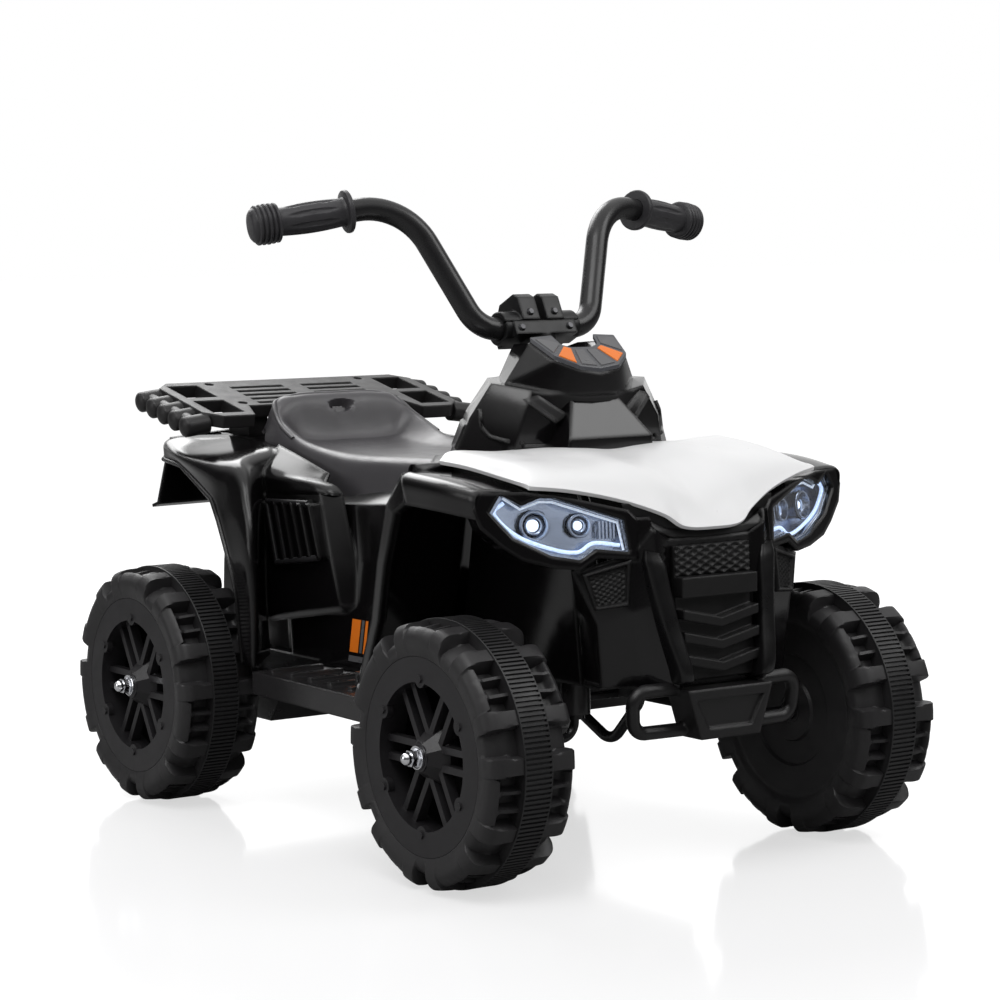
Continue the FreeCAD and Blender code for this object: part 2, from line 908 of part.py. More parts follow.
def clamp_cap(sign):
    """Upper clamp block, one of the pair side by side on the bar."""
    half = cap_depth / 2
    outline = [
        Vec(-half, 0, cap_split),
        Vec(half, 0, cap_split),
        Vec(half, 0, cap_height - cap_chamfer),
        Vec(half - cap_chamfer, 0, cap_height),
        Vec(cap_chamfer - half, 0, cap_height),
        Vec(-half, 0, cap_height - cap_chamfer),
    ]
    cap = prism(outline, Vec(0, cap_width, 0))
    start = cap_gap / 2 if sign > 0 else -cap_gap / 2 - cap_width
    return clamp_hole(moved(cap, Vec(0, start, 0)))


def bar_sleeve_cap(sign):
    """Half sleeve over the bar beside the caps."""
    start = sign * (cap_gap / 2 + cap_width)
    end = sign * (clamp_half_width + sleeve_length)
    sleeve = rod(Vec(0, start, 0), Vec(0, end, 0), bar_radius + sleeve_wall)
    low_y, high_y = min(start, end), max(start, end)
    keep = box(Vec(-clamp_depth, low_y, cap_split), Vec(clamp_depth, high_y, clamp_depth))
    return clamp_hole(sleeve.common(keep))


def clamp_caps():
    """Both caps, each with its half sleeve."""
    return [joined([clamp_cap(sign), bar_sleeve_cap(sign)]) for sign in (-1, 1)]


def screw_head(radius, height):
    """Pan head that stands on the plane Z = 0."""
    return Part.makeCone(radius, radius - height / 2, height)


def clamp_screws():
    """Bright screw heads on the front of the caps and of the lower block."""
    heads = []
    side = cap_gap / 2 + cap_width / 2
    low_side = clamp_half_width - 2 * clamp_screw_radius
    for sign in (-1, 1):
        head = screw_head(clamp_screw_radius, clamp_screw_head)
        head.rotate(Vec(0, 0, 0), Vec(0, 1, 0), 90)
        heads.append(moved(head, Vec(cap_depth / 2, sign * side, cap_split + 2 * clamp_screw_radius)))
        heads.append(moved(head, Vec(clamp_depth / 2, sign * low_side, -clamp_below / 2)))
    return heads


# Chassis

def rear_tray_outline(wall):
    """Side outline of the rear tray, drawn in by a wall."""
    tail = rear_axle_x - chassis_tail + wall
    ramp = front_axle_x - ramp_foot - wall
    floor = chassis_floor_z + wall
    rise = (chassis_rim_z - chassis_floor_z) * ramp_run / (beam_floor_z - chassis_floor_z)
    return [
        (tail, chassis_rim_z),
        (tail, floor + chassis_chamfer),
        (tail + chassis_chamfer, floor),
        (ramp, floor),
        (ramp + rise, chassis_rim_z),
    ]


def front_beam_outline(wall):
    """Side outline of the raised front beam and the ramp up to it, drawn in by a wall."""
    foot = front_axle_x - ramp_foot - wall
    floor = beam_floor_z + wall
    nose = front_axle_x + beam_nose - wall
    return [
        (foot - ramp_run, beam_rim_z),
        (foot - ramp_run, chassis_floor_z + wall),
        (foot, chassis_floor_z + wall),
        (foot + ramp_run, floor),
        (nose - beam_chamfer, floor),
        (nose, floor + beam_chamfer),
        (nose, beam_rim_z),
    ]


def hollow_tray(outline, half_width):
    """Outer block and inner space of a tray with one wall thickness all round and an open top."""
    outer = [Vec(x, -half_width, z) for x, z in outline(0)]
    inner_half = half_width - panel_wall
    inner = [Vec(x, -inner_half, z) for x, z in outline(panel_wall)]
    shell = prism(outer, Vec(0, 2 * half_width, 0))
    hollow = prism(inner, Vec(0, 2 * inner_half, 0))
    return shell, hollow.fuse(moved(hollow, Vec(0, 0, cut_overrun)))


def axle_trough(wall):
    """Deeper part of the tray below the rear axle, drawn in by a wall."""
    half = chassis_half_width - wall
    floor = trough_low_z + wall
    rim = chassis_floor_z + panel_wall
    back = rear_axle_x - trough_back + wall
    ahead = rear_axle_x + trough_front - wall
    outline = [
        Vec(back, -half, rim),
        Vec(back, -half, chassis_floor_z - wall),
        Vec(back + trough_slant, -half, floor),
        Vec(ahead - trough_slant, -half, floor),
        Vec(ahead, -half, chassis_floor_z - wall),
        Vec(ahead, -half, rim),
    ]
    return prism(outline, Vec(0, 2 * half, 0))


def footboard():
    """Left footboard: a skirted step with ridges across it."""
    back = rear_axle_x + footboard_rear_gap
    ahead = front_axle_x - footboard_front_gap
    root = chassis_half_width - panel_wall
    floor = footboard_top_z - footboard_depth
    outline = [
        Vec(back, root, floor),
        Vec(ahead, root, floor),
        Vec(ahead, chassis_half_width + footboard_front_width, floor),
        Vec(back, chassis_half_width + footboard_rear_width, floor),
    ]
    step = prism(outline, Vec(0, 0, footboard_depth))
    inset = panel_wall
    hollow_outline = [
        Vec(back + inset, root + inset, floor),
        Vec(ahead - inset, root + inset, floor),
        Vec(ahead - inset, chassis_half_width + footboard_front_width - inset, floor),
        Vec(back + inset, chassis_half_width + footboard_rear_width - inset, floor),
    ]
    hollow = prism(hollow_outline, Vec(0, 0, footboard_depth - panel_wall))
    ridges = []
    pitch = (ahead - back) / ridge_count
    for ridge in range(ridge_count):
        start = back + ridge * pitch + (pitch - ridge_width) / 2
        low = Vec(start, chassis_half_width + ridge_margin, footboard_top_z - panel_wall / 2)
        end_y = chassis_half_width + footboard_rear_width - ridge_margin
        ridges.append(box(low, Vec(start + ridge_width, end_y, footboard_top_z + ridge_height)))
    return joined([step.cut(hollow)] + ridges)


def kingpin_boss(sign):
    """Upright bearing boss for one kingpin."""
    low = Vec(front_axle_x, sign * kingpin_y, kingpin_boss_low)
    return rod(low, Vec(low.x, low.y, kingpin_boss_high), kingpin_boss_radius)


def kingpin_hole(sign):
    """Running hole through a kingpin boss."""
    through = Vec(0, 0, cut_overrun)
    low = Vec(front_axle_x, sign * kingpin_y, kingpin_boss_low)
    high = Vec(low.x, low.y, kingpin_boss_high)
    return rod(low - through, high + through, axle_radius + running_gap)


def lower_bearing():
    """Leaning boss that holds the lower column bush."""
    half = column_up * (lower_bearing_length / 2)
    middle = column_point(lower_bearing_z)
    return rod(middle - half, middle + half, lower_bearing_radius)


def pedal_lugs():
    """Two ears on the right footboard that carry the accelerator pedal."""
    ears = []
    pivot_z = footboard_top_z + pedal_pin_z
    for sign in (-1, 1):
        gap = pedal_width / 2 + seam_gap
        inner = sign * gap - pedal_y
        outer = sign * (gap + pedal_lug_width) - pedal_y
        low_y, high_y = min(inner, outer), max(inner, outer)
        low = Vec(pedal_x - pedal_barrel_radius, low_y, footboard_top_z - panel_wall / 2)
        high = Vec(pedal_x + pedal_barrel_radius, high_y, pivot_z + pedal_barrel_radius)
        ears.append(box(low, high))
    return ears


def pedal_hole():
    """Running hole through the pedal's ears."""
    reach = pedal_width / 2 + pedal_lug_width + cut_overrun
    pivot = Vec(pedal_x, -pedal_y, footboard_top_z + pedal_pin_z)
    across = Vec(0, reach, 0)
    return rod(pivot - across, pivot + across, pedal_pin_radius + running_gap)


def lower_chassis():
    """Load bearing tray with the front beam, bearing bosses and both footboards."""
    rear_shell, rear_hollow = hollow_tray(rear_tray_outline, chassis_half_width)
    beam_shell, beam_hollow = hollow_tray(front_beam_outline, beam_half_width)
    body = joined([rear_shell, beam_shell, axle_trough(0)])
    body = body.cut(rear_hollow).cut(beam_hollow).cut(axle_trough(panel_wall))
    axle = Vec(rear_axle_x, chassis_half_width + rear_boss_length / 2, axle_z)
    pieces = [body, footboard(), mirrored(footboard()), lower_bearing()]
    pieces += [kingpin_boss(-1), kingpin_boss(1)] + pedal_lugs()
    for sign in (-1, 1):
        outer = Vec(axle.x, sign * axle.y, axle.z)
        inner = Vec(axle.x, sign * (axle.y - rear_boss_length), axle.z)
        pieces.append(rod(inner, outer, rear_boss_radius))
    body = joined(pieces)
    reach = Vec(0, wheel_y, 0)
    middle = Vec(rear_axle_x, 0, axle_z)
    body = body.cut(rod(middle - reach, middle + reach, axle_radius + running_gap))
    body = body.cut(kingpin_hole(-1)).cut(kingpin_hole(1)).cut(pedal_hole())
    return body.cut(bush_seat(column_point(lower_bearing_z)))


# Rear body

rear_fender_shares = [
    ((-0.80, 0.74, 0.815), (-0.80, 0.79, 0.820), (-0.82, 0.75, 0.868), (-0.84, 0.44, 0.875)),
    ((-0.30, 0.77, 0.805), (-0.30, 0.83, 0.811), (-0.32, 0.81, 0.845), (-0.32, 0.44, 0.872)),
    ((0.50, 0.83, 0.737), (0.52, 0.89, 0.743), (0.54, 0.86, 0.830), (0.54, 0.52, 0.858)),
    ((0.66, 0.84, 0.690), (0.68, 0.90, 0.695), (0.94, 0.855, 0.812), (0.70, 0.64, 0.805)),
    ((0.82, 0.85, 0.633), (0.84, 0.91, 0.637), (1.18, 0.88, 0.740), (0.71, 0.645, 0.750)),
    ((0.97, 0.855, 0.567), (0.99, 0.915, 0.570), (1.33, 0.90, 0.655), (0.72, 0.65, 0.650)),
    ((1.05, 0.855, 0.510), (1.07, 0.915, 0.512), (1.38, 0.90, 0.517), (0.72, 0.65, 0.512)),
    ((1.12, 0.85, 0.358), (1.14, 0.91, 0.358), (1.36, 0.90, 0.358), (0.72, 0.63, 0.358)),
]

hip_shares = [
    ((0.50, 0.50, 0.866), (1.02, 0.51, 0.838), (1.42, 0.495, 0.808)),
    ((0.68, 0.65, 0.808), (1.08, 0.61, 0.802), (1.50, 0.54, 0.790)),
    ((0.70, 0.655, 0.755), (1.58, 0.60, 0.768), (1.74, 0.52, 0.765)),
    ((0.70, 0.66, 0.612), (1.82, 0.62, 0.620), (1.98, 0.53, 0.615)),
    ((0.70, 0.66, 0.455), (1.94, 0.605, 0.505), (2.08, 0.535, 0.508)),
    ((0.70, 0.62, 0.438), (1.94, 0.565, 0.488), (2.06, 0.535, 0.492)),
]

tub_shares = [
    ((-0.72, 0, 0.775), (-0.72, 0.30, 0.775), (-0.72, 0.44, 0.740), (-0.72, 0.47, 0.55),
     (-0.72, 0.475, 0.48), (-0.72, 0.475, 0.357)),
    ((0.60, 0, 0.765), (0.60, 0.36, 0.765), (0.60, 0.47, 0.735), (0.60, 0.49, 0.55),
     (0.60, 0.49, 0.48), (0.60, 0.485, 0.357)),
    ((0.90, 0, 0.765), (0.90, 0.38, 0.765), (0.90, 0.50, 0.730), (0.90, 0.56, 0.52),
     (0.90, 0.575, 0.49), (0.90, 0.56, 0.357)),
    ((2.10, 0, 0.790), (2.14, 0.37, 0.790), (2.14, 0.49, 0.745), (2.10, 0.545, 0.52),
     (2.08, 0.56, 0.49), (2.05, 0.55, 0.357)),
]

tub_front_shares = (
    (-1.46, 0, 0.838), (-1.46, 0.36, 0.838), (-1.52, 0.47, 0.770), (-1.66, 0.515, 0.52),
    (-1.68, 0.52, 0.49), (-1.86, 0.52, 0.357),
)

flap_shares = [
    ((-0.80, 0, 0.888), (-0.82, 0.40, 0.885), (-0.83, 0.74, 0.872)),
    ((-0.90, 0, 0.800), (-0.91, 0.42, 0.800), (-0.91, 0.755, 0.800)),
    ((-0.93, 0, 0.712), (-0.93, 0.46, 0.710), (-0.92, 0.795, 0.708)),
    ((-1.00, 0, 0.705), (-1.00, 0.46, 0.703), (-0.99, 0.805, 0.701)),
]

tail_deck_shares = [
    ((-0.80, 0, 0.882), (-0.80, 0.25, 0.882), (-0.80, 0.46, 0.878)),
    ((-0.10, 0, 0.870), (-0.10, 0.25, 0.870), (-0.10, 0.46, 0.872)),
    ((0.16, 0, 0.790), (0.16, 0.25, 0.790), (0.10, 0.46, 0.862)),
]

louvre_window_shares = ((0.95, 0.590), (1.76, 0.617), (1.58, 0.744), (0.77, 0.736))
louvre_bar_count = 5
louvre_bar_width = 7.0
louvre_bar_proud = 5.0


def rear_grid(table):
    """Rows of rear outline points from a table of shares."""
    return [[rear(*shares) for shares in row] for row in table]


def front_grid(table):
    """Rows of front outline points from a table of shares."""
    return [[front(*shares) for shares in row] for row in table]


def full_grid(rows):
    """Rows mirrored to run from one side of the bike to the other."""
    return [both_ways(row) for row in rows]


def louvre_bars():
    """Upright bars that stand in the louvre window of the left hip."""
    low_left, low_right, high_right, high_left = [rear(x, 0, z) for x, z in louvre_window_shares]
    outer_y = rear(*hip_shares[3][0]).y + louvre_bar_proud
    inner_y = rear(*hip_shares[3][2]).y
    bars = []
    for bar in range(louvre_bar_count + 1):
        part = bar / louvre_bar_count
        foot = low_left + (low_right - low_left) * part
        head = high_left + (high_right - high_left) * part
        half = Vec(louvre_bar_width / 2, 0, 0)
        outline = [foot - half, foot + half, head + half, head - half]
        points = [Vec(point.x, inner_y, point.z) for point in outline]
        bars.append(prism(points, Vec(0, outer_y - inner_y - louvre_bar_proud / 2, 0)))
    return bars


def hip():
    """Left hip panel with its louvre window."""
    panel = sheet(rear_grid(hip_shares), panel_wall, Vec(0, 1, 0))
    window = [rear(x, 0, z) for x, z in louvre_window_shares]
    panel = panel.cut(prism(window, Vec(0, body_half_width, 0)))
    return joined([panel] + louvre_bars())


def tail_deck():
    """Flat panel behind the seat, which carries the rack."""
    return sheet(full_grid(rear_grid(tail_deck_shares)), panel_wall, Vec(0, 0, 1))


def rear_body():
    """Glossy rear body: tub walls, hips, rear fenders, tail deck and rear flap."""
    fender = sheet(rear_grid(rear_fender_shares), panel_wall, Vec(0, 1, 1))
    side = joined([fender, hip()])
    tub_rows = rear_grid(tub_shares) + front_grid([tub_front_shares])
    tub = sheet(full_grid(tub_rows), panel_wall, Vec(0, 0, 1))
    flap = sheet(full_grid(rear_grid(flap_shares)), panel_wall, Vec(-1, 0, 0))
    return joined([tub, side, mirrored(side), flap, tail_deck()])


# Front body

fender_shares = [
    ((-0.70, 0.96, 0.797), (-0.72, 1.03, 0.800), (-0.82, 1.00, 0.865), (-0.89, 0.72, 0.862),
     (-1.12, 0.52, 0.765), (-1.40, 0.50, 0.415)),
    ((-0.24, 0.96, 0.790), (-0.24, 1.03, 0.795), (-0.24, 1.005, 0.857), (-0.24, 0.70, 0.852),
     (-0.24, 0.52, 0.750), (-0.24, 0.495, 0.415)),
    ((0.27, 0.93, 0.780), (0.27, 1.005, 0.785), (0.27, 0.98, 0.842), (0.26, 0.69, 0.828),
     (0.31, 0.52, 0.730), (0.38, 0.49, 0.417)),
]

leg_shares = [
    ((-1.80, 0.54, 0.3600), (-1.80, 0.955, 0.351), (-1.66, 0.97, 0.351), (-1.64, 0.93, 0.351)),
    ((-1.52, 0.52, 0.532), (-1.45, 0.975, 0.532), (-1.31, 0.985, 0.532), (-1.29, 0.945, 0.532)),
    ((-1.36, 0.52, 0.660), (-1.27, 1.00, 0.660), (-1.13, 1.01, 0.660), (-1.11, 0.97, 0.660)),
    ((-1.22, 0.53, 0.795), (-1.08, 1.01, 0.792), (-0.90, 1.03, 0.780), (-0.88, 0.99, 0.776)),
    ((-0.94, 0.72, 0.863), (-0.86, 0.995, 0.866), (-0.72, 1.03, 0.803), (-0.70, 0.99, 0.798)),
]

nose_shares = [
    ((0.86, 0, 0.730), (0.86, 0.22, 0.733), (0.88, 0.30, 0.755), (0.78, 0.37, 0.705),
     (0.56, 0.62, 0.668), (0.24, 0.485, 0.690)),
    ((0.88, 0, 0.600), (0.86, 0.21, 0.600), (0.94, 0.28, 0.600), (0.80, 0.39, 0.580),
     (0.68, 0.53, 0.555), (0.27, 0.475, 0.555)),
    ((0.97, 0, 0.418), (0.95, 0.20, 0.418), (1.04, 0.23, 0.420), (0.80, 0.33, 0.412),
     (0.66, 0.50, 0.420), (0.30, 0.465, 0.420)),
]

cheek_shares = [
    ((0.83, 0.305, 0.7800), (0.765, 0.36, 0.780)),
    ((0.862, 0.300, 0.7450), (0.770, 0.372, 0.695)),
]

edge_roll_shares = ((-0.85, 0.945, 0.868), (-0.90, 0.66, 0.868))

deck_shares = ((-2.04, 0.30), (-1.94, 0.46), (-1.30, 0.70), (-0.84, 0.74), (-0.84, 0.0))

hood_shares = [
    ((-0.89, 0, 0.895), (-0.89, 0.15, 0.900), (-0.88, 0.30, 0.902), (-0.87, 0.50, 0.900),
     (-0.85, 0.74, 0.907), (-0.75, 0.84, 0.890)),
    ((-0.44, 0, 0.897), (-0.44, 0.15, 0.903), (-0.44, 0.30, 0.906), (-0.44, 0.48, 0.899),
     (-0.43, 0.71, 0.902), (-0.40, 0.815, 0.882)),
    ((-0.04, 0, 0.884), (-0.05, 0.14, 0.893), (-0.06, 0.28, 0.900), (-0.06, 0.46, 0.892),
     (-0.06, 0.69, 0.892), (-0.02, 0.795, 0.868)),
    ((0.36, 0, 0.850), (0.34, 0.13, 0.868), (0.31, 0.26, 0.884), (0.28, 0.43, 0.882),
     (0.24, 0.67, 0.877), (0.26, 0.787, 0.859)),
    ((0.70, 0, 0.808), (0.68, 0.13, 0.826), (0.63, 0.25, 0.845), (0.53, 0.42, 0.858),
     (0.42, 0.64, 0.863), (0.37, 0.787, 0.856)),
    ((0.95, 0, 0.753), (0.93, 0.15, 0.757), (0.87, 0.24, 0.785), (0.72, 0.41, 0.8175),
     (0.565, 0.61, 0.841), (0.43, 0.785, 0.852)),
]

lens_shares = [
    (0.90, 0.96), (0.75, 0.72), (0.61, 0.88), (0.52, 0.87), (0.02, 0.37), (-0.017, -0.30),
    (0.226, -0.22), (0.338, -0.44), (0.544, -0.33), (0.816, 0.07), (0.976, 0.60),
]

bezel_shares = [
    (1.06, 1.02), (0.72, 1.02), (0.36, 0.84), (-0.02, 0.58), (-0.08, 0.40), (-0.08, -0.48),
    (0.205, -0.42), (0.33, -0.66), (0.53, -0.60), (0.76, -0.42), (0.90, -0.14), (1.05, 0.27), (1.10, 0.67),
]

reflector_share = 0.93


def lens_frame():
    """Corner, outward run, upward run and facing of the left headlight."""
    yaw, tilt = math.radians(lens_yaw), math.radians(lens_tilt)
    facing = Vec(math.cos(yaw) * math.cos(tilt), math.sin(yaw) * math.cos(tilt), math.sin(tilt))
    along = Vec(-math.sin(yaw), math.cos(yaw), 0)
    up = facing.cross(along)
    across, high = lens_corner_shares
    corner = Vec(front_axle_x + lens_corner_x, across * body_half_width, height_at(high))
    return corner, along, up, facing


def lens_points(shares, depth, scale=1.0):
    """Outline on the headlight, set back from its face, drawn in about its middle."""
    corner, along, up, facing = lens_frame()
    middle = corner + along * (lens_length / 2) + up * (lens_height / 4) - facing * depth
    points = []
    for across, high in shares:
        point = corner + along * (across * lens_length) + up * (high * lens_height) - facing * depth
        points.append(middle + (point - middle) * scale)
    return points


def lens_block(shares, depth, thickness, grow):
    """Headlight outline drawn back from a depth, grown outwards all round."""
    facing = lens_frame()[3]
    outline = Part.makePolygon(lens_points(shares, depth) + lens_points(shares, depth)[:1])
    if grow:
        outline = outline.makeOffset2D(grow, 2)
    return Part.Face(Part.Wire(outline.Edges)).extrude(facing * -thickness)


def headlight_lens():
    """Clear left lens."""
    return lens_block(lens_shares, lens_inset, lens_thickness, 0)


def lens_opening():
    """Space for the lens and the reflector behind it."""
    reach = bezel_front + bezel_depth + 2 * cut_overrun
    return lens_block(lens_shares, -bezel_front - cut_overrun, reach, seam_gap)


def bezel():
    """Frame round the left headlight."""
    ring = lens_block(bezel_shares, -bezel_front, bezel_front + bezel_depth, 0)
    return ring.cut(lens_opening())


lamp_shares = ((0.635, 0.31), (0.31, 0.28))


def lamp_places():
    """Middles of the large and the small lamp of the left headlight."""
    corner, along, up, facing = lens_frame()
    places = []
    for across, high in lamp_shares:
        places.append(corner + along * (across * lens_length) + up * (high * lens_height))
    return places


def headlight_reflector():
    """Bright tray behind the left lens, with two round pockets."""
    back = lens_inset + lens_thickness + seam_gap
    facing = lens_frame()[3]
    tray_block = lens_block(lens_shares, back, reflector_depth, 0)
    pocket_depth = reflector_depth - reflector_wall
    pocket = prism(lens_points(lens_shares, back, reflector_share), facing * -pocket_depth)
    body = tray_block.cut(pocket)
    floor = back + reflector_depth - reflector_wall
    for place, radius in zip(lamp_places(), (lamp_radius, small_lamp_radius)):
        seat = place - facing * (floor + reflector_wall)
        collar = pipe(seat, seat + facing * (lamp_depth - reflector_wall), radius, radius - reflector_wall)
        body = body.fuse(collar)
    return body.removeSplitter()


def headlight_lamps():
    """Domed lamps of the left headlight."""
    facing = lens_frame()[3]
    floor = lens_inset + lens_thickness + seam_gap + reflector_depth - reflector_wall
    lamps = []
    for place, radius in zip(lamp_places(), (lamp_radius, small_lamp_radius)):
        bulb = radius - reflector_wall - seam_gap
        seat = place - facing * floor
        lamps.append(rod(seat, seat + facing * (lamp_depth / 2), bulb))
    return lamps


def hood():
    """White bonnet with two raised muscles and a turned down lip."""
    top = full_grid(front_grid(hood_shares))
    last_row, last_column = len(top) - 1, len(top[0]) - 1
    bottom = []
    for row, points in enumerate(top):
        line = []
        for column, point in enumerate(points):
            edge = row == last_row or column in (0, last_column)
            line.append(point - Vec(0, 0, hood_lip if edge else hood_wall))
        bottom.append(line)
    return between(top, bottom)


def deck():
    """Flat shelf under the cowl, with the boss for the upper column bush."""
    half = [Vec(front(x, 0, 0).x, y * body_half_width, deck_z - deck_wall) for x, y in deck_shares]
    outline = half + [flip(point) for point in reversed(half[:-1])]
    middle = column_point(deck_z)
    half_boss = column_up * (upper_bearing_length / 2)
    boss = rod(middle - half_boss, middle + half_boss, upper_bearing_radius)
    return joined([prism(outline, Vec(0, 0, deck_wall)), boss])


def bush_seat(centre):
    """Stepped hole for a column and the bush pushed in from above."""
    run = column_up * lower_bearing_length
    half_bush = column_up * (column_bush_length / 2)
    outer = column_radius + column_bush_wall + running_gap
    clear = rod(centre - run, centre + run, column_radius + seam_gap)
    return clear.fuse(rod(centre - half_bush, centre + run, outer))


def edge_roll():
    """Rounded bar along the left rear edge of the front body, beside the deck."""
    outer, inner = [front(*shares) for shares in edge_roll_shares]
    return joined([rod(outer, inner, roll_radius), Part.makeSphere(roll_radius, outer)])


def cheek():
    """Small panel that closes the corner between the nose and the left bezel."""
    return sheet(front_grid(cheek_shares), panel_wall, Vec(1, 0, 0))


def front_body():
    """Front fenders, wheel wells, headlight bezels, nose and the deck under the cowl."""
    fender = sheet(front_grid(fender_shares), panel_wall, Vec(0, 1, 1))
    leg = sheet(front_grid(leg_shares), panel_wall, Vec(-1, 1, 0))
    side = joined([fender, leg, bezel(), edge_roll(), cheek()])
    nose = sheet(full_grid(front_grid(nose_shares)), panel_wall, Vec(1, 0, 0))
    body = joined([nose, side, mirrored(side), deck()])
    body = body.cut(lens_opening()).cut(mirrored(lens_opening()))
    body = body.cut(bush_seat(column_point(deck_z)))
    return body.cut(hood()).cut(moved(hood(), Vec(0, 0, -seam_gap)))


# Steering cowl and dash

cowl_shares = [
    ((-2.02, 0, 0.876), (-1.95, 0.36, 0.876), (-1.68, 0.475, 0.878), (-1.23, 0.605, 0.882),
     (-0.84, 0.42, 0.888), (-0.79, 0.11, 0.888), (-0.78, 0, 0.888)),
    ((-1.92, 0, 0.963), (-1.84, 0.31, 0.970), (-1.56, 0.42, 0.980), (-1.18, 0.53, 0.970),
     (-0.80, 0.38, 0.962), (-0.74, 0.11, 0.960), (-0.73, 0, 0.960)),
    ((-1.82, 0, 1.038), (-1.76, 0.22, 1.047), (-1.56, 0.30, 1.052), (-1.13, 0.43, 1.045),
     (-0.84, 0.31, 1.030), (-0.71, 0.11, 1.018), (-0.70, 0, 1.018)),
    ((-1.76, 0, 1.048), (-1.70, 0.18, 1.053), (-1.52, 0.25, 1.054), (-1.12, 0.36, 1.044),
     (-0.80, 0.21, 1.022), (-0.68, 0.10, 1.016), (-0.665, 0, 1.016)),
    ((-1.74, 0, 1.098), (-1.69, 0.13, 1.106), (-1.48, 0.18, 1.126), (-1.08, 0.235, 1.134),
     (-0.80, 0.20, 1.095), (-0.67, 0.11, 1.073), (-0.65, 0, 1.066)),
    ((-1.66, 0, 1.065), (-1.62, 0.055, 1.070), (-1.50, 0.085, 1.083), (-1.44, 0.075, 1.092),
     (-1.39, 0.055, 1.098), (-1.365, 0.03, 1.102), (-1.36, 0, 1.102)),
]

dash_inner_shares = ((-0.93, 0, 1.112), (-0.93, 0.06, 1.112), (-0.97, 0.10, 1.118), (-1.08, 0.115, 1.138))


def ring_sheet(half, wall):
    """Tube like panel from its left half, whose rows start and end on the middle plane."""
    normals = grid_normals(half)
    middle = Vec(0, 0, 0)
    count = len(half) * len(half[0])
    for row in half:
        for point in row:
            middle += Vec(point.x, 0, point.z) * (1 / count)
    facing = 0
    for points, line in zip(half, normals):
        facing += sum(normal.dot(point - middle) for point, normal in zip(points, line))
    inward = -wall if facing > 0 else wall
    inner = []
    for points, line in zip(half, normals):
        moved_row = [point + normal * inward for point, normal in zip(points, line)]
        moved_row[0].y = 0
        moved_row[-1].y = 0
        inner.append(moved_row)
    left = between(half, inner)
    return joined([left, mirrored(left)])


def switch_frame():
    """Middle, outward facing and upward run of the switch panel on the cowl's back."""
    low = front(*cowl_shares[0][0])
    high = front(*cowl_shares[1][0])
    up = (high - low).normalize()
    facing = Vec(0, 1, 0).cross(up) * -1
    return low + (high - low) * switch_share, facing, up


def switch_block(width, height, near, far):
    """Block on the switch panel's middle, between two distances along its facing."""
    middle, facing, up = switch_frame()
    half = Vec(0, width / 2, 0)
    rise = up * (height / 2)
    base = middle + facing * near
    corners = [base - half - rise, base + half - rise, base + half + rise, base - half + rise]
    return prism(corners, facing * (far - near))


def steering_cowl():
    """Faceted cover round the steering column, with a neck that carries the dash."""
    shell = ring_sheet(front_grid(cowl_shares), panel_wall)
    window = switch_block(switch_panel_width - 2 * switch_flange_margin + 2 * seam_gap,
                          switch_panel_height - 2 * switch_flange_margin + 2 * seam_gap,
                          -switch_panel_depth, switch_panel_depth)
    under = Vec(2 * wheelbase, 2 * body_half_width, 2 * deck_z)
    shelf = moved(box(Vec(0, 0, 0), under), Vec(-wheelbase, -body_half_width, seam_gap - deck_z))
    shell = shell.cut(shelf).cut(hood()).cut(moved(hood(), Vec(0, 0, seam_gap)))
    return largest(shell.cut(window))


def dash_panel():
    """Horseshoe trim plate on the neck, open towards the rider."""
    lift = Vec(0, 0, seam_gap)
    rim_points = [front(*shares) + lift for shares in reversed(cowl_shares[4][3:])]
    inner = [front(*shares) for shares in dash_inner_shares]
    grid = [both_ways(rim_points), both_ways(inner)]
    up = Vec(0, 0, dash_thickness)
    top = [[point + up for point in row] for row in grid]
    return between(top, grid)


def rocker_place(sign):
    """Pivot of one rocker, on the switch panel."""
    middle, facing, up = switch_frame()
    return middle + Vec(0, sign * rocker_offset, 0) + facing * (switch_flange - rocker_proud)


def rocker(sign):
    """Rocker with a shallow valley across its face and a pin at each end."""
    facing, up = switch_frame()[1:]
    pivot = rocker_place(sign) - Vec(0, rocker_width / 2, 0)
    points = []
    for out_share, up_share in rocker_shares:
        points.append(pivot + facing * (out_share * rocker_radius) + up * (up_share * rocker_radius))
    across = Vec(0, rocker_width, 0)
    pin = Vec(0, rocker_pin_length, 0)
    return joined([prism(points, across), rod(pivot - pin, pivot + across + pin, rocker_pin_radius)])


def switch_panel():
    """Plate on the back of the cowl with two rocker pockets."""
    flange = switch_block(switch_panel_width, switch_panel_height, seam_gap, switch_flange)
    inner = switch_block(switch_panel_width - 2 * switch_flange_margin,
                         switch_panel_height - 2 * switch_flange_margin, -switch_panel_depth, switch_flange)
    body = joined([flange, inner])
    for sign in (-1, 1):
        pivot = rocker_place(sign)
        half = Vec(0, rocker_width / 2 + rocker_gap, 0)
        body = body.cut(rod(pivot - half, pivot + half, rocker_radius + rocker_gap))
        pin = Vec(0, rocker_width / 2 + rocker_pin_length + rocker_gap, 0)
        body = body.cut(rod(pivot - pin, pivot + pin, rocker_pin_radius + running_gap))
    return body


# Grille, tusks, mesh and bumper

tusk_front_shares = (
    ((0.90, 0.36, 0.712), (0.93, 0.265, 0.702)),
    ((1.02, 0.315, 0.570), (1.05, 0.225, 0.565)),
    ((1.15, 0.265, 0.452), (1.16, 0.185, 0.447)),
    ((1.06, 0.250, 0.424), (1.07, 0.180, 0.422)),
)

tusk_depth_shares = (0.3, 1, 1, 1)

mesh_shares = (
    ((0.845, 0, 0.7465), (0.845, 0.20, 0.750), (0.80, 0.32, 0.775)),
    ((0.860, 0, 0.7310), (0.862, 0.20, 0.7335), (0.87, 0.285, 0.750)),
)


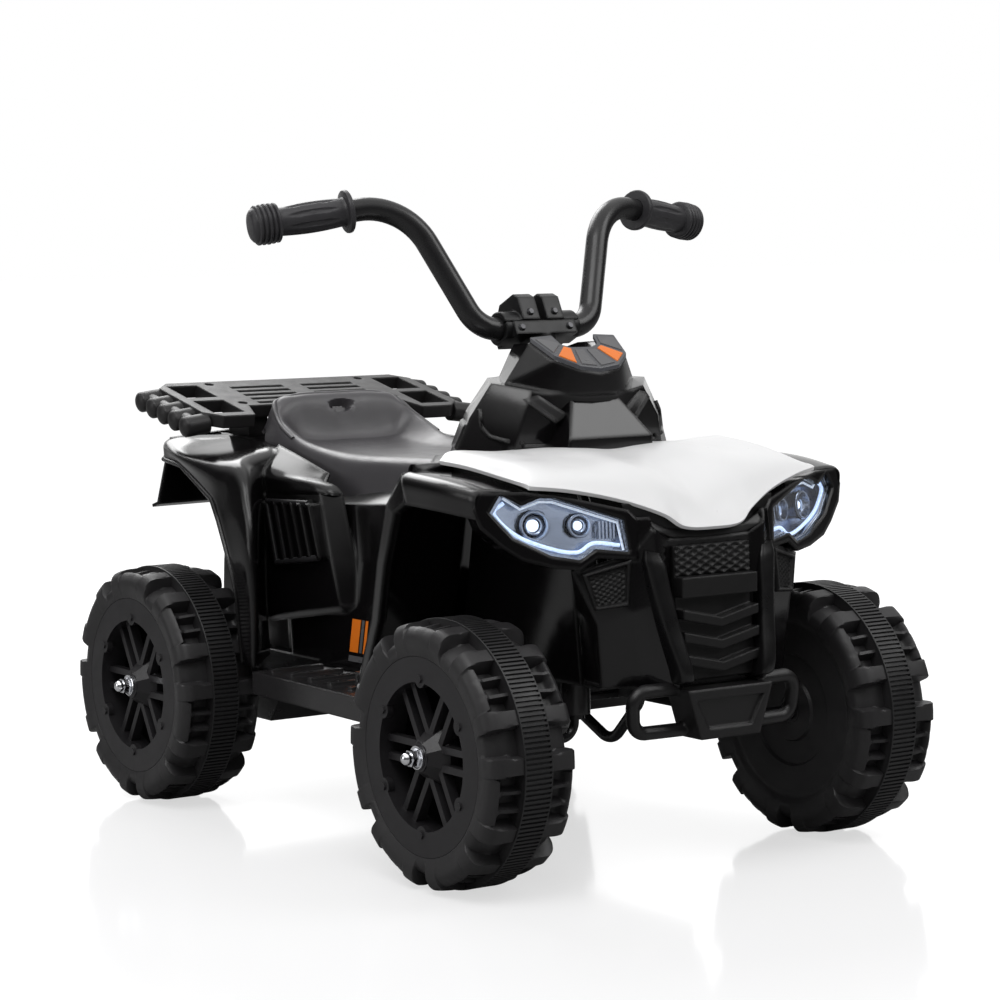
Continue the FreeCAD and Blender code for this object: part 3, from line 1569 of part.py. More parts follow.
def nose_block(shift):
    """Nose with the space behind it, moved by a shift, to trim what is fixed on the nose."""
    outer = full_grid(front_grid(nose_shares))
    depth = Vec(-2 * nose_keep_out, 0, 0)
    inner = [[point + depth for point in row] for row in outer]
    return moved(between(outer, inner), shift)


def on_nose(shape):
    """Trim a piece so that it lies on the nose with a seam gap."""
    for shift in (Vec(seam_gap, 0, 0), Vec(seam_gap, 0, -seam_gap)):
        shape = shape.cut(nose_block(shift))
    return shape


def louvre(low_z):
    """One chevron bar of the grille."""
    face = front_axle_x + grille_face + louvre_depth + (louvre_top_z - low_z) * louvre_lean_share
    outline = [
        Vec(face, -louvre_half_width, low_z + louvre_point),
        Vec(face, 0, low_z),
        Vec(face, louvre_half_width, low_z + louvre_point),
        Vec(face, louvre_half_width, low_z + louvre_point + louvre_height),
        Vec(face, 0, low_z + louvre_height),
        Vec(face, -louvre_half_width, low_z + louvre_point + louvre_height),
    ]
    return prism(outline, Vec(-2 * louvre_depth, 0, 0))


grille_plate_shares = ((0.80, 0.715), (0.895, 0.715), (0.92, 0.600), (1.01, 0.432), (0.80, 0.432))


def grille():
    """Matt grille: back plate, cross-piece and chevron bars."""
    half = Vec(0, louvre_half_width, 0)
    side = [front(x, 0, z) for x, z in grille_plate_shares]
    plate = prism([point - half for point in side], half * 2)
    face = front_axle_x + grille_face
    low = Vec(face - crosspiece_depth, -louvre_half_width, crosspiece_low_z)
    high = Vec(face + crosspiece_depth, louvre_half_width, crosspiece_low_z + crosspiece_height)
    bars = [louvre(louvre_low_z + bar * louvre_pitch) for bar in range(louvre_count - 1)]
    return largest(on_nose(joined([plate, box(low, high)] + bars)))


def tusk():
    """Left bar that stands beside the grille."""
    top = [[front(*shares) for shares in row] for row in tusk_front_shares]
    bottom = []
    for row, depth_share in zip(top, tusk_depth_shares):
        bottom.append([point - Vec(depth_share * tusk_depth, 0, 0) for point in row])
    return largest(on_nose(between(top, bottom)).cut(grille_keep_out()))


def grille_keep_out():
    """Space of the grille with its seam gap, on both sides."""
    half = louvre_half_width + seam_gap
    low = Vec(front_axle_x, -half, crosspiece_low_z - body_height)
    high = Vec(front_axle_x + 2 * grille_face, half, crosspiece_low_z + body_height)
    return box(low, high)


def grille_mesh():
    """Net panel in the mouth below the bonnet's front edge."""
    grid = full_grid(front_grid(mesh_shares))
    back = Vec(-mesh_thickness, 0, 0)
    panel = between(grid, [[point + back for point in row] for row in grid])
    panel = panel.cut(hood()).cut(moved(hood(), Vec(0, 0, -seam_gap)))
    nose = sheet(full_grid(front_grid(nose_shares)), panel_wall, Vec(1, 0, 0))
    for part in (nose, cheek(), mirrored(cheek())):
        panel = panel.cut(part).cut(moved(part, Vec(0, 0, seam_gap)))
    return largest(panel)


def bumper_loop():
    """Left tube loop of the bumper, from the skid block out and back."""
    x = front_axle_x + bumper_loop_x
    inner_y = skid_half_width - bumper_loop_radius
    route = [
        Vec(x, inner_y, bumper_top_z),
        Vec(x - bumper_loop_radius / 2, bumper_outer_y, bumper_top_z),
        Vec(x - bumper_loop_radius, bumper_outer_y - panel_wall, bumper_low_z),
        Vec(x - bumper_loop_radius / 2, inner_y - bumper_loop_radius, bumper_low_z),
    ]
    return bent_rod(route, [bumper_loop_bend, bumper_loop_bend], bumper_loop_radius)


def skid_outline(face_x, inset):
    """Trapezoid of the skid plate at a distance forward, drawn in by an inset."""
    top_half = skid_half_width - inset
    low_half = skid_half_width - skid_taper - inset
    return [
        Vec(face_x, -low_half, skid_low_z + inset),
        Vec(face_x, low_half, skid_low_z + inset),
        Vec(face_x, top_half, skid_top_z - inset),
        Vec(face_x, -top_half, skid_top_z - inset),
    ]


def front_bumper():
    """Tube loops, skid plate and the two arms that bolt under the front beam."""
    face = front_axle_x + bumper_front
    back = front_axle_x + bumper_loop_x - 2 * bumper_loop_radius
    block = prism(skid_outline(back, 0), Vec(face - back, 0, 0))
    relief = prism(skid_outline(face - skid_relief, skid_thickness), Vec(skid_relief + cut_overrun, 0, 0))
    hollow_back = back - cut_overrun
    hollow = prism(skid_outline(hollow_back, skid_thickness), Vec(face - skid_thickness - hollow_back, 0, 0))
    pieces = [block.cut(relief).cut(hollow), bumper_loop(), mirrored(bumper_loop())]
    arm_top = beam_floor_z - seam_gap
    for sign in (-1, 1):
        inner = sign * bumper_arm_y
        low = Vec(front_axle_x + bumper_arm_start, inner - bumper_arm_width / 2, arm_top - bumper_arm_height)
        high = Vec(back + skid_thickness, inner + bumper_arm_width / 2, arm_top)
        pieces.append(box(low, high))
    nose = sheet(full_grid(front_grid(nose_shares)), panel_wall, Vec(1, 0, 0))
    shape = on_nose(joined(pieces)).cut(moved(nose, Vec(0, 0, -seam_gap)))
    for sign in (-1, 1):
        tusk_shape = tusk() if sign > 0 else mirrored(tusk())
        shape = shape.cut(tusk_shape).cut(moved(tusk_shape, Vec(0, 0, -seam_gap)))
        shape = shape.cut(moved(tusk_shape, Vec(seam_gap, 0, 0)))
    shape = shape.cut(grille()).cut(moved(grille(), Vec(0, 0, -seam_gap)))
    return largest(shape)


# Seat and rack

seat_shares = [
    ((2.96, 0, 0.823), (2.96, 0.20, 0.823), (2.94, 0.33, 0.821), (2.92, 0.36, 0.812)),
    ((2.96, 0, 0.853), (2.96, 0.22, 0.853), (2.93, 0.36, 0.840), (2.90, 0.40, 0.800)),
    ((2.88, 0, 0.862), (2.88, 0.25, 0.862), (2.86, 0.375, 0.848), (2.82, 0.405, 0.785)),
    ((2.20, 0, 0.856), (2.20, 0.25, 0.856), (2.20, 0.39, 0.842), (2.20, 0.415, 0.762)),
    ((1.44, 0, 0.846), (1.44, 0.25, 0.848), (1.44, 0.42, 0.842), (1.44, 0.445, 0.745)),
    ((0.74, 0, 0.852), (0.74, 0.27, 0.858), (0.74, 0.435, 0.862), (0.72, 0.46, 0.755)),
    ((0.30, 0, 0.880), (0.30, 0.25, 0.900), (0.30, 0.425, 0.900), (0.24, 0.46, 0.800)),
    ((0.06, 0, 0.955), (0.06, 0.225, 0.960), (0.06, 0.37, 0.945), (0.00, 0.43, 0.870)),
    ((-0.04, 0, 0.978), (-0.04, 0.225, 0.976), (-0.03, 0.35, 0.962), (-0.05, 0.41, 0.890)),
    ((-0.14, 0, 0.966), (-0.14, 0.22, 0.964), (-0.12, 0.34, 0.950), (-0.11, 0.40, 0.895)),
    ((-0.20, 0, 0.886), (-0.20, 0.22, 0.886), (-0.18, 0.33, 0.886), (-0.16, 0.40, 0.886)),
]


seat_notch_shares = (-0.03, 0, 0.985)


def seat_notch():
    """Finger notch in the top of the seat's back rim."""
    middle = rear(*seat_notch_shares)
    half = Vec(seat_notch_depth, seat_notch_width / 2, seat_notch_height)
    return box(middle - half, middle + half)


def seat():
    """Moulded seat shell with a raised back rim, resting on the tub and the tail deck."""
    shell = sheet(full_grid(rear_grid(seat_shares)), panel_wall, Vec(0, 0, 1))
    body = rear_body()
    shell = shell.cut(body).cut(moved(body, Vec(0, 0, seam_gap)))
    return largest(shell.cut(seat_notch()))


def rack_point(back, across, rise):
    """Point on the rack: distance ahead of its rear edge, across, and above its top face."""
    slope = math.radians(rack_slope)
    x = rear_axle_x - rack_rear + back * math.cos(slope) + rise * math.sin(slope)
    z = rack_rear_z - back * math.sin(slope) + rise * math.cos(slope)
    return Vec(x, across, z)


def rack_slab(outline, low, high):
    """Block on the rack from an outline of (ahead, across) pairs."""
    points = [rack_point(ahead, across, low) for ahead, across in outline]
    return prism(points, rack_point(0, 0, high) - rack_point(0, 0, low))


def rack_rect(ahead_low, ahead_high, across_low, across_high):
    """Rectangle outline on the rack."""
    return [
        (ahead_low, across_low), (ahead_high, across_low),
        (ahead_high, across_high), (ahead_low, across_high),
    ]


def rack_side():
    """Left side frame of the rack with two windows and its row of knobs."""
    inner = rack_panel_half_width - rack_bar
    outline = [
        (0, inner), (rack_panel_length, inner), (rack_length, inner + rack_bar),
        (rack_length, rack_half_width - rack_chamfer), (rack_length - rack_chamfer, rack_half_width),
        (rack_chamfer, rack_half_width), (0, rack_half_width - rack_chamfer),
    ]
    frame = rack_slab(outline, -rack_thickness, 0)
    window_end = rack_length - rack_bar
    middle = (rack_bar + window_end) / 2
    near = rack_panel_half_width + rack_bar / 2
    far = rack_half_width - rack_bar
    for start, end in ((rack_bar, middle - rack_bar / 2), (middle + rack_bar / 2, window_end)):
        hole = rack_slab(rack_rect(start, end, near, far), -rack_thickness - cut_overrun, cut_overrun)
        frame = frame.cut(hole)
    pieces = [frame]
    for knob in range(knob_count):
        ahead = rack_knob_margin + rack_knob_radius + knob * rack_knob_pitch
        sink = rack_knob_radius + rack_knob_sink
        root = rack_point(ahead, rack_half_width - rack_bar / 2, -sink)
        tip = rack_point(ahead, rack_half_width + rack_knob_reach, -sink - rack_knob_drop)
        pieces.append(rod(root, tip, rack_knob_radius))
    return joined(pieces)


def rack_slots():
    """Two sets of slots in the rack's centre panel."""
    holes = []
    for sign in (-1, 1):
        for slot in range(rack_slot_count):
            start = rack_slot_margin + slot * 2 * rack_slot_width
            near = sign * rack_bar
            far = sign * (rack_bar + rack_slot_length)
            outline = rack_rect(start, start + rack_slot_width, near, far)
            holes.append(rack_slab(outline, -rack_thickness - cut_overrun, cut_overrun))
    return holes


def rack_foot(sign):
    """Foot from the centre panel down to the tail deck."""
    head = rack_point(rack_foot_back, sign * rack_foot_y, -rack_thickness / 2)
    half = Vec(rack_foot_length / 2, rack_foot_width / 2, 0)
    low = Vec(head.x, head.y, rear(*tail_deck_shares[1][2]).z) - half
    return largest(box(low, head + half).cut(tail_deck()))


def rack_screw_places():
    """Distances ahead and across of the four screws in the rack's centre panel."""
    across = rack_panel_half_width - rack_screw_margin
    ends = (rack_screw_margin, rack_panel_length - rack_screw_margin)
    return [(ahead, sign * across) for sign in (-1, 1) for ahead in ends]


def rear_rack():
    """Luggage rack: slotted centre panel, side frames, knobs and feet."""
    panel = rack_slab(rack_rect(0, rack_panel_length, -rack_panel_half_width, rack_panel_half_width),
                      -rack_thickness, 0)
    for hole in rack_slots():
        panel = panel.cut(hole)
    body = joined([panel, rack_side(), mirrored(rack_side()), rack_foot(-1), rack_foot(1)])
    for ahead, across in rack_screw_places():
        floor = rack_point(ahead, across, -screw_recess)
        body = body.cut(rod(floor, rack_point(ahead, across, cut_overrun), screw_head_radius + seam_gap))
    return body


# Drive

def drive_axis():
    """Rear axle middle line at the wheel track's middle."""
    return Vec(rear_axle_x, 0, axle_z)


def idler_axis():
    """Middle line of the idler gear."""
    angle = math.radians(idler_angle)
    reach = gear_module * (drive_teeth + idler_pinion_teeth) / 2
    return drive_axis() + Vec(math.cos(angle), 0, math.sin(angle)) * reach


def motor_axis():
    """Middle line of the motor."""
    angle = math.radians(motor_angle)
    reach = gear_module * (idler_teeth + pinion_teeth) / 2
    return idler_axis() + Vec(math.cos(angle), 0, math.sin(angle)) * reach


def mesh_turn(teeth, other_teeth, toward, other_turn):
    """Turn of a gear that sets a tooth gap where the other gear's tooth points at it."""
    phase = (toward + 180 - other_turn) / 360 * other_teeth
    back_phase = phase - math.floor(phase)
    return toward + 180 - (1 - 2 * back_phase) * 180 / teeth


def geared(shape, axis, low_y, turn):
    """Gear drawn from Y = 0, turned about its own axis and set at a height across the bike."""
    copy = shape.copy()
    copy.rotate(Vec(0, 0, 0), Vec(0, 1, 0), -turn)
    copy.translate(Vec(axis.x, low_y, axis.z))
    return copy


def gear_rows():
    """Inner edges, across the bike, of the outer and the inner gear row."""
    inner = case_inner_y() + case_wall + gear_gap
    return inner, inner + gear_width + gear_gap


def case_inner_y():
    """Inner face of the gearbox, just clear of the chassis boss."""
    return chassis_half_width + rear_boss_length / 2 + seam_gap


def drive_gear():
    """Gear on the rear axle with its sleeve and the flange that turns the left wheel."""
    row = gear_rows()[1]
    axis = drive_axis()
    end_y = wheel_y - inner_disc_y
    wheel_gear = geared(gear(drive_teeth, gear_width, axle_radius + running_gap), axis, row, 0)
    bore = axle_radius + running_gap
    sleeve = pipe(Vec(axis.x, row, axis.z), Vec(axis.x, end_y, axis.z), gear_sleeve_radius, bore)
    flange = pipe(Vec(axis.x, end_y - dog_thickness, axis.z), Vec(axis.x, end_y, axis.z), dog_radius, bore)
    return joined([wheel_gear, sleeve, flange])


def idler_gear():
    """Double gear: the large one meets the motor pinion, the small one the drive gear."""
    inner, outer = gear_rows()
    axis = idler_axis()
    bore = idler_pin_radius + running_gap
    small_turn = mesh_turn(idler_pinion_teeth, drive_teeth, idler_angle, 0)
    large = geared(gear(idler_teeth, gear_width, bore), axis, inner, idler_large_turn())
    pinion = gear(idler_pinion_teeth, gear_width + gear_gap, bore)
    small = geared(pinion, axis, inner + gear_width, small_turn)
    return joined([large, small])


def idler_large_turn():
    """Turn of the idler's large gear, one tooth towards the motor."""
    return motor_angle


def motor_pinion():
    """Pinion pressed on the motor shaft."""
    inner = gear_rows()[0]
    turn = motor_angle + 180 + 180 / pinion_teeth
    return geared(gear(pinion_teeth, gear_width, motor_shaft_radius), motor_axis(), inner, turn)


def case_block(low_y, high_y, inset):
    """Rounded outline of the gearbox between two distances across the bike, drawn in by an inset."""
    circles = (
        (drive_axis(), gear_module * drive_teeth / 2),
        (idler_axis(), gear_module * idler_teeth / 2),
        (motor_axis(), motor_radius),
    )
    pieces = []
    for axis, radius in circles:
        outer = radius + case_gap + case_wall - inset
        pieces.append(rod(Vec(axis.x, low_y, axis.z), Vec(axis.x, high_y, axis.z), outer))
    return joined(pieces)


def gearbox():
    """Inner case and outer cover of the gearbox."""
    low = case_inner_y()
    high = low + case_length
    split = low + case_length * case_split_share
    case = case_block(low, split, 0).cut(case_block(low + case_wall, split + cut_overrun, case_wall))
    cover = case_block(split, high, 0).cut(case_block(split - cut_overrun, high - case_wall, case_wall))
    idler = idler_axis()
    pin_end = Vec(idler.x, high - case_wall - seam_gap, idler.z)
    pin = rod(Vec(idler.x, low, idler.z), pin_end, idler_pin_radius)
    axis = drive_axis()
    shaft = rod(Vec(axis.x, 0, axis.z), Vec(axis.x, wheel_y, axis.z), axle_radius + running_gap)
    sleeve = rod(Vec(axis.x, split, axis.z), Vec(axis.x, wheel_y, axis.z), gear_sleeve_radius + seam_gap)
    motor = motor_axis()
    motor_hole = rod(Vec(motor.x, 0, motor.z), Vec(motor.x, split, motor.z), motor_shaft_radius + case_gap)
    case = joined([case, pin]).cut(shaft).cut(motor_hole)
    return case, cover.cut(sleeve)


def motor():
    """Motor can with its shaft."""
    axis = motor_axis()
    face = case_inner_y() - running_gap
    can = rod(Vec(axis.x, face - motor_length, axis.z), Vec(axis.x, face, axis.z), motor_radius)
    tip = gear_rows()[0] - seam_gap
    return joined([can, rod(Vec(axis.x, face, axis.z), Vec(axis.x, tip, axis.z), motor_shaft_radius)])


def gearbox_space():
    """Space that the tub leaves for the gearbox."""
    low = case_inner_y()
    return case_block(low - seam_gap, low + case_length + seam_gap, -seam_gap)


def motor_hole():
    """Space for the motor through the tub's left wall."""
    axis = motor_axis()
    face = case_inner_y()
    start = Vec(axis.x, face - motor_length - cut_overrun, axis.z)
    return rod(start, Vec(axis.x, face, axis.z), motor_radius + seam_gap)


def rear_axle():
    """Plain steel axle through both rear wheels."""
    reach = Vec(0, wheel_y + axle_tip_y, 0)
    return rod(drive_axis() - reach, drive_axis() + reach, axle_radius)


def axle_spacer():
    """Tube between the chassis boss and the right rear wheel."""
    start = chassis_half_width + rear_boss_length / 2 + seam_gap
    end = wheel_y - inner_disc_y - seam_gap
    axis = drive_axis()
    bore = axle_radius + running_gap
    return pipe(Vec(axis.x, -end, axis.z), Vec(axis.x, -start, axis.z), spacer_radius, bore)


def battery():
    """Battery block with two terminals, standing in the tray."""
    floor = chassis_floor_z + panel_wall
    low = Vec(battery_x, -battery_width / 2, floor)
    high = Vec(battery_x + battery_length, battery_width / 2, floor + battery_height)
    pieces = [box(low, high)]
    for sign in (-1, 1):
        foot = Vec(battery_x + battery_length / 2, sign * battery_width / 4, high.z)
        pieces.append(rod(foot, foot + Vec(0, 0, terminal_height), terminal_radius))
    return joined(pieces)


# Pedal and charging socket

def accelerator_pedal():
    """Sprung plate on the right footboard, hinged at its heel."""
    pivot = Vec(pedal_x, -pedal_y, footboard_top_z + pedal_pin_z)
    half = Vec(0, pedal_width / 2, 0)
    reach = Vec(0, pedal_width / 2 + pedal_lug_width, 0)
    rise = Vec(0, 0, pedal_rise)
    top = Vec(0, 0, pedal_thickness / 2)
    tip = pivot + Vec(pedal_length, 0, 0) + rise
    plate = prism([pivot - half - top, tip - half - top, tip - half + top, pivot - half + top], half * 2)
    pieces = [plate, rod(pivot - half, pivot + half, pedal_barrel_radius)]
    pieces.append(rod(pivot - reach, pivot + reach, pedal_pin_radius))
    for bar in range(tread_bar_count):
        part = (bar + 1) / (tread_bar_count + 1)
        middle = pivot + (tip - pivot) * part + top
        run = (tip - pivot).normalize() * (tread_bar_width / 2)
        lift = Vec(0, 0, tread_bar_height)
        sunk = lift * -1
        outline = [middle - run + sunk, middle + run + sunk, middle + run + lift, middle - run + lift]
        pieces.append(prism([point - half for point in outline], half * 2))
    return joined(pieces)


def socket_hole():
    """Hole in the tub's left wall for the charging socket."""
    start = Vec(socket_x, socket_face_y - socket_depth - cut_overrun, socket_z)
    return rod(start, Vec(socket_x, body_half_width, socket_z), socket_radius + seam_gap)


def charging_socket():
    """Round socket with a flange, for a barrel plug."""
    face = Vec(socket_x, socket_face_y, socket_z)
    flange_back = face - Vec(0, socket_flange, 0)
    back = face - Vec(0, socket_depth, 0)
    body = joined([rod(back, face, socket_radius), rod(flange_back, face, socket_flange_radius)])
    over = Vec(0, cut_overrun, 0)
    return body.cut(rod(face - Vec(0, socket_bore_depth, 0), face + over, socket_bore))


def body_screws():
    """Screw heads sunk in the rack's centre panel."""
    heads = []
    for ahead, across in rack_screw_places():
        head = screw_head(screw_head_radius, screw_head_height)
        head.rotate(Vec(0, 0, 0), Vec(0, 1, 0), rack_slope)
        heads.append(moved(head, rack_point(ahead, across, -screw_recess)))
    return heads


# Parts, in the order they would come off the bench

wheel_pieces = (("tyre", tyre()), ("tread_band", tread_band()), ("rim", rim()), ("wheel_bush", wheel_bush()))
corners = (
    ("front_right", front_axle_x, -1), ("front_left", front_axle_x, 1),
    ("rear_right", rear_axle_x, -1), ("rear_left", rear_axle_x, 1),
)
for corner_name, corner_x, corner_side in corners:
    for piece_name, piece in wheel_pieces:
        save(corner_name + "_" + piece_name, placed_on_wheel(piece, corner_x, corner_side))

left_front_nut = [placed_on_wheel(piece, front_axle_x, 1) for piece in acorn_nut()]
left_rear_nut = [placed_on_wheel(piece, rear_axle_x, 1) for piece in acorn_nut()]
save("left_front_axle_nut", left_front_nut)
save("right_front_axle_nut", [mirrored(piece) for piece in left_front_nut])
save("rear_axle_nuts", left_rear_nut + [mirrored(piece) for piece in left_rear_nut])
save("rear_axle", rear_axle())
save("rear_axle_spacer", axle_spacer())

save("left_knuckle", knuckle())
save("right_knuckle", mirrored(knuckle()))
save("tie_rod", tie_rod())
save("steering_column", steering_column())
save("column_bushes", column_bushes())
save("handlebar", handlebar())
save("left_grip", grip())
save("right_grip", mirrored(grip()))
save("bar_clamp", on_column(clamp_body(), 0))
save("clamp_caps", [on_column(cap, 0) for cap in clamp_caps()])
save("clamp_screws", [on_column(head, 0) for head in clamp_screws()])

save("lower_chassis", lower_chassis())
save("rear_body", rear_body().cut(motor_hole()).cut(socket_hole()).cut(gearbox_space()))
save("front_body", front_body())
save("hood", hood())
save("steering_cowl", steering_cowl())
save("dash_panel", dash_panel())
save("grille", grille())
save("grille_mesh", grille_mesh())
save("tusk_bars", [tusk(), mirrored(tusk())])
save("front_bumper", front_bumper())
save("headlight_lenses", [headlight_lens(), mirrored(headlight_lens())])
save("headlight_reflectors", [headlight_reflector(), mirrored(headlight_reflector())])
save("headlight_lamps", headlight_lamps() + [mirrored(lamp) for lamp in headlight_lamps()])
save("seat", seat())
save("rear_rack", rear_rack())
save("body_screws", body_screws())

gearbox_case, gearbox_cover = gearbox()
save("gearbox_case", gearbox_case)
save("gearbox_cover", gearbox_cover)
save("drive_gear", drive_gear())
save("idler_gear", idler_gear())
save("motor_pinion", motor_pinion())
save("motor", motor())
save("battery", battery())
save("accelerator_pedal", accelerator_pedal())
save("switch_panel", switch_panel())
save("power_switch", rocker(-1))
save("direction_switch", rocker(1))
save("charging_socket", charging_socket())
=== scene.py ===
import json
import math

import bmesh
import bpy
import numpy as np
from mathutils import Matrix, Vector
from mathutils.bvhtree import BVHTree


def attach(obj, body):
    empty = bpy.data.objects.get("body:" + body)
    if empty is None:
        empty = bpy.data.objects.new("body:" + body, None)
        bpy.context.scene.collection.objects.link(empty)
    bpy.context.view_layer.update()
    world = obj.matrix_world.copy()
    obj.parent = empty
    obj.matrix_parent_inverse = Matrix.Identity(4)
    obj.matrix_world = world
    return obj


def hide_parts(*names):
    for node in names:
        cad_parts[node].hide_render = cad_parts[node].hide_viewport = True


# A child's electric quad bike, in metres, in the frame of the solids.
# +X is forward, +Y is the rider's left, +Z is up, and the ground is at zero.

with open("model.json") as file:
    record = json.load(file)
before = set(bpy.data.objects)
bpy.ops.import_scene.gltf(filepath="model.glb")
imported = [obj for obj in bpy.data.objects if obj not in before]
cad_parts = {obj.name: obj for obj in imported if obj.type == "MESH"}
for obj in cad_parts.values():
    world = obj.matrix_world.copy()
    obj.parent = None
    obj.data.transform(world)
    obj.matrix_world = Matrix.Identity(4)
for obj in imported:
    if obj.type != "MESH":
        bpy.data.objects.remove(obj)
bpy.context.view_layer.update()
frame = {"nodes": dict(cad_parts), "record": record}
nodes = frame["nodes"]
MM = 0.001
CORNERS = {"front_right": (1, -1), "front_left": (1, 1), "rear_right": (-1, -1), "rear_left": (-1, 1)}

# Driving sizes, in millimetres as in the solids
AXLE_X = 254.0
WHEEL_Y = 200.5
WHEEL_RADIUS = 115.0
BODY_HALF_WIDTH = 200.0
BODY_HEIGHT = 400.0
REACH = 100.0

# Camera of the photograph
EYE = Vector((2313.3, -1603.0, 553.9)) * MM
TARGET = Vector((19.3, 0.0, 298.8)) * MM
ROLL = math.radians(-0.52)
LENS = 107.5
SHIFT = (0.007, 0.002)
SENSOR_WIDTH = 36.0


# Materials

WHITE = (1, 1, 1, 1)
NOISE_RANGE = (0.25, 0.75)
COLOUR_MIX_SOCKETS = (0, 6, 7)
CLOUD_SIZE = 0.05
GLOSS_SIZE = 0.018
GLOSS_SPREAD = 0.2
RIPPLE_SIZE = 0.035
RIPPLE_HEIGHT = 0.002
WAVE_SIZE = 0.006
WAVE_STRENGTH = 0.08
WAVE_HEIGHT = 0.0006
LENS_IOR = 1.25
CELL_SCALE = 700.0
GLOW_SPREAD = 0.3
GLOW_ROUGHNESS = 0.2


class Nodes:
    """Node tree with short ways to add nodes and fill their inputs."""

    def __init__(self, tree):
        self.tree = tree

    def fill(self, socket, value):
        """Set an input, or link another node's output to it."""
        if isinstance(value, bpy.types.NodeSocket):
            self.tree.links.new(value, socket)
        else:
            socket.default_value = value

    def fill_named(self, made, inputs):
        """Fill inputs of a node by their names."""
        for key, value in inputs.items():
            self.fill(made.inputs[key.replace("_", " ")], value)

    def node(self, kind, *values, **inputs):
        """New node with its inputs filled, in order or by name."""
        made = self.tree.nodes.new(kind)
        for socket, value in zip(made.inputs, values):
            self.fill(socket, value)
        self.fill_named(made, inputs)
        return made

    def shader(self, kind, *values, **inputs):
        """Output of a new shader node."""
        return self.node(kind, *values, **inputs).outputs[0]

    def result(self, kind, operation, *values):
        """Number from a new math node or vector math node."""
        made = self.node(kind)
        made.operation = operation
        for socket, value in zip(made.inputs, values):
            self.fill(socket, value)
        return made.outputs["Value"]

    def ranged(self, value, start, end, low, high, easing="LINEAR"):
        """Number that goes from low to high while a value goes from start to end."""
        made = self.node("ShaderNodeMapRange", Value=value, From_Min=start, From_Max=end, To_Min=low,
                         To_Max=high)
        made.interpolation_type = easing
        return made.outputs["Result"]

    def eased(self, value, start, end, low, high):
        """The same with a soft start and end."""
        return self.ranged(value, start, end, low, high, "SMOOTHSTEP")


class Shader(Nodes):
    """New material with its main shader."""

    def __init__(self, name):
        self.material = bpy.data.materials.new(name)
        self.material.use_nodes = True
        super().__init__(self.material.node_tree)
        self.main = self.tree.nodes["Principled BSDF"]
        self.coords = self.node("ShaderNodeTexCoord").outputs["Object"]

    def finish(self, **inputs):
        """Fill inputs of the main shader and hand over the material."""
        self.fill_named(self.main, inputs)
        return self.material

    def noise(self, size, detail=3.0):
        """Cloudy pattern with blobs of about a size in metres."""
        made = self.node("ShaderNodeTexNoise", Vector=self.coords, Scale=1 / size, Detail=detail)
        return made.outputs["Fac"]

    def spread(self, value, low, high):
        """Pattern value stretched to a range."""
        return self.ranged(value, *NOISE_RANGE, low, high)

    def mix(self, factor, first, second):
        """Colour between two colours."""
        made = self.node("ShaderNodeMix")
        made.data_type = "RGBA"
        for index, value in zip(COLOUR_MIX_SOCKETS, (factor, first, second)):
            self.fill(made.inputs[index], value)
        return made.outputs[2]

    def bump(self, height, strength, distance, normal=None):
        """Relief from a pattern, on top of another normal."""
        made = self.node("ShaderNodeBump", Height=height, Strength=strength, Distance=distance)
        if normal is not None:
            self.fill(made.inputs["Normal"], normal)
        return made.outputs["Normal"]


def tint(colour, share):
    """Colour made darker or lighter."""
    return (*[min(1.0, part * share) for part in colour], 1.0)


def moulded(name, colour, roughness, grain=0.0004, relief=0.25, metallic=0.0, tone=0.18, ripple=0.0,
            shine=0.5, edge=0.0):
    """Moulded or plated finish: clouded tone, uneven gloss, fine grain, slow ripples, soft edges."""
    made = Shader(name)
    clouds = made.mix(made.noise(CLOUD_SIZE), tint(colour, 1 - tone), tint(colour, 1 + tone))
    low, high = roughness * (1 - GLOSS_SPREAD), roughness * (1 + GLOSS_SPREAD)
    gloss = made.spread(made.noise(GLOSS_SIZE, 4.0), low, high)
    normal = made.node("ShaderNodeBevel", Radius=edge).outputs["Normal"] if edge else None
    normal = made.bump(made.noise(grain, 2.0), relief, grain / 2, normal)
    if ripple:
        normal = made.bump(made.noise(RIPPLE_SIZE, 1.0), ripple, RIPPLE_HEIGHT, normal)
    return made.finish(Base_Color=clouds, Roughness=gloss, Metallic=metallic, Specular_IOR_Level=shine,
                       Normal=normal)


def clear(name, colour, roughness):
    """Clear moulded lens with faint waviness."""
    made = Shader(name)
    waves = made.bump(made.noise(WAVE_SIZE, 1.0), WAVE_STRENGTH, WAVE_HEIGHT)
    return made.finish(Base_Color=(*colour, 1.0), Roughness=roughness, Transmission_Weight=1.0,
                       IOR=LENS_IOR, Normal=waves)


def lit(name, colour, strength):
    """Lamp face that glows, brighter in its middle cells."""
    made = Shader(name)
    cells = made.node("ShaderNodeTexVoronoi", Vector=made.coords, Scale=CELL_SCALE).outputs["Distance"]
    glow = made.spread(cells, strength * (1 + GLOW_SPREAD), strength * (1 - GLOW_SPREAD))
    return made.finish(Base_Color=(*colour, 1.0), Roughness=GLOW_ROUGHNESS, Emission_Color=(*colour, 1.0),
                       Emission_Strength=glow)


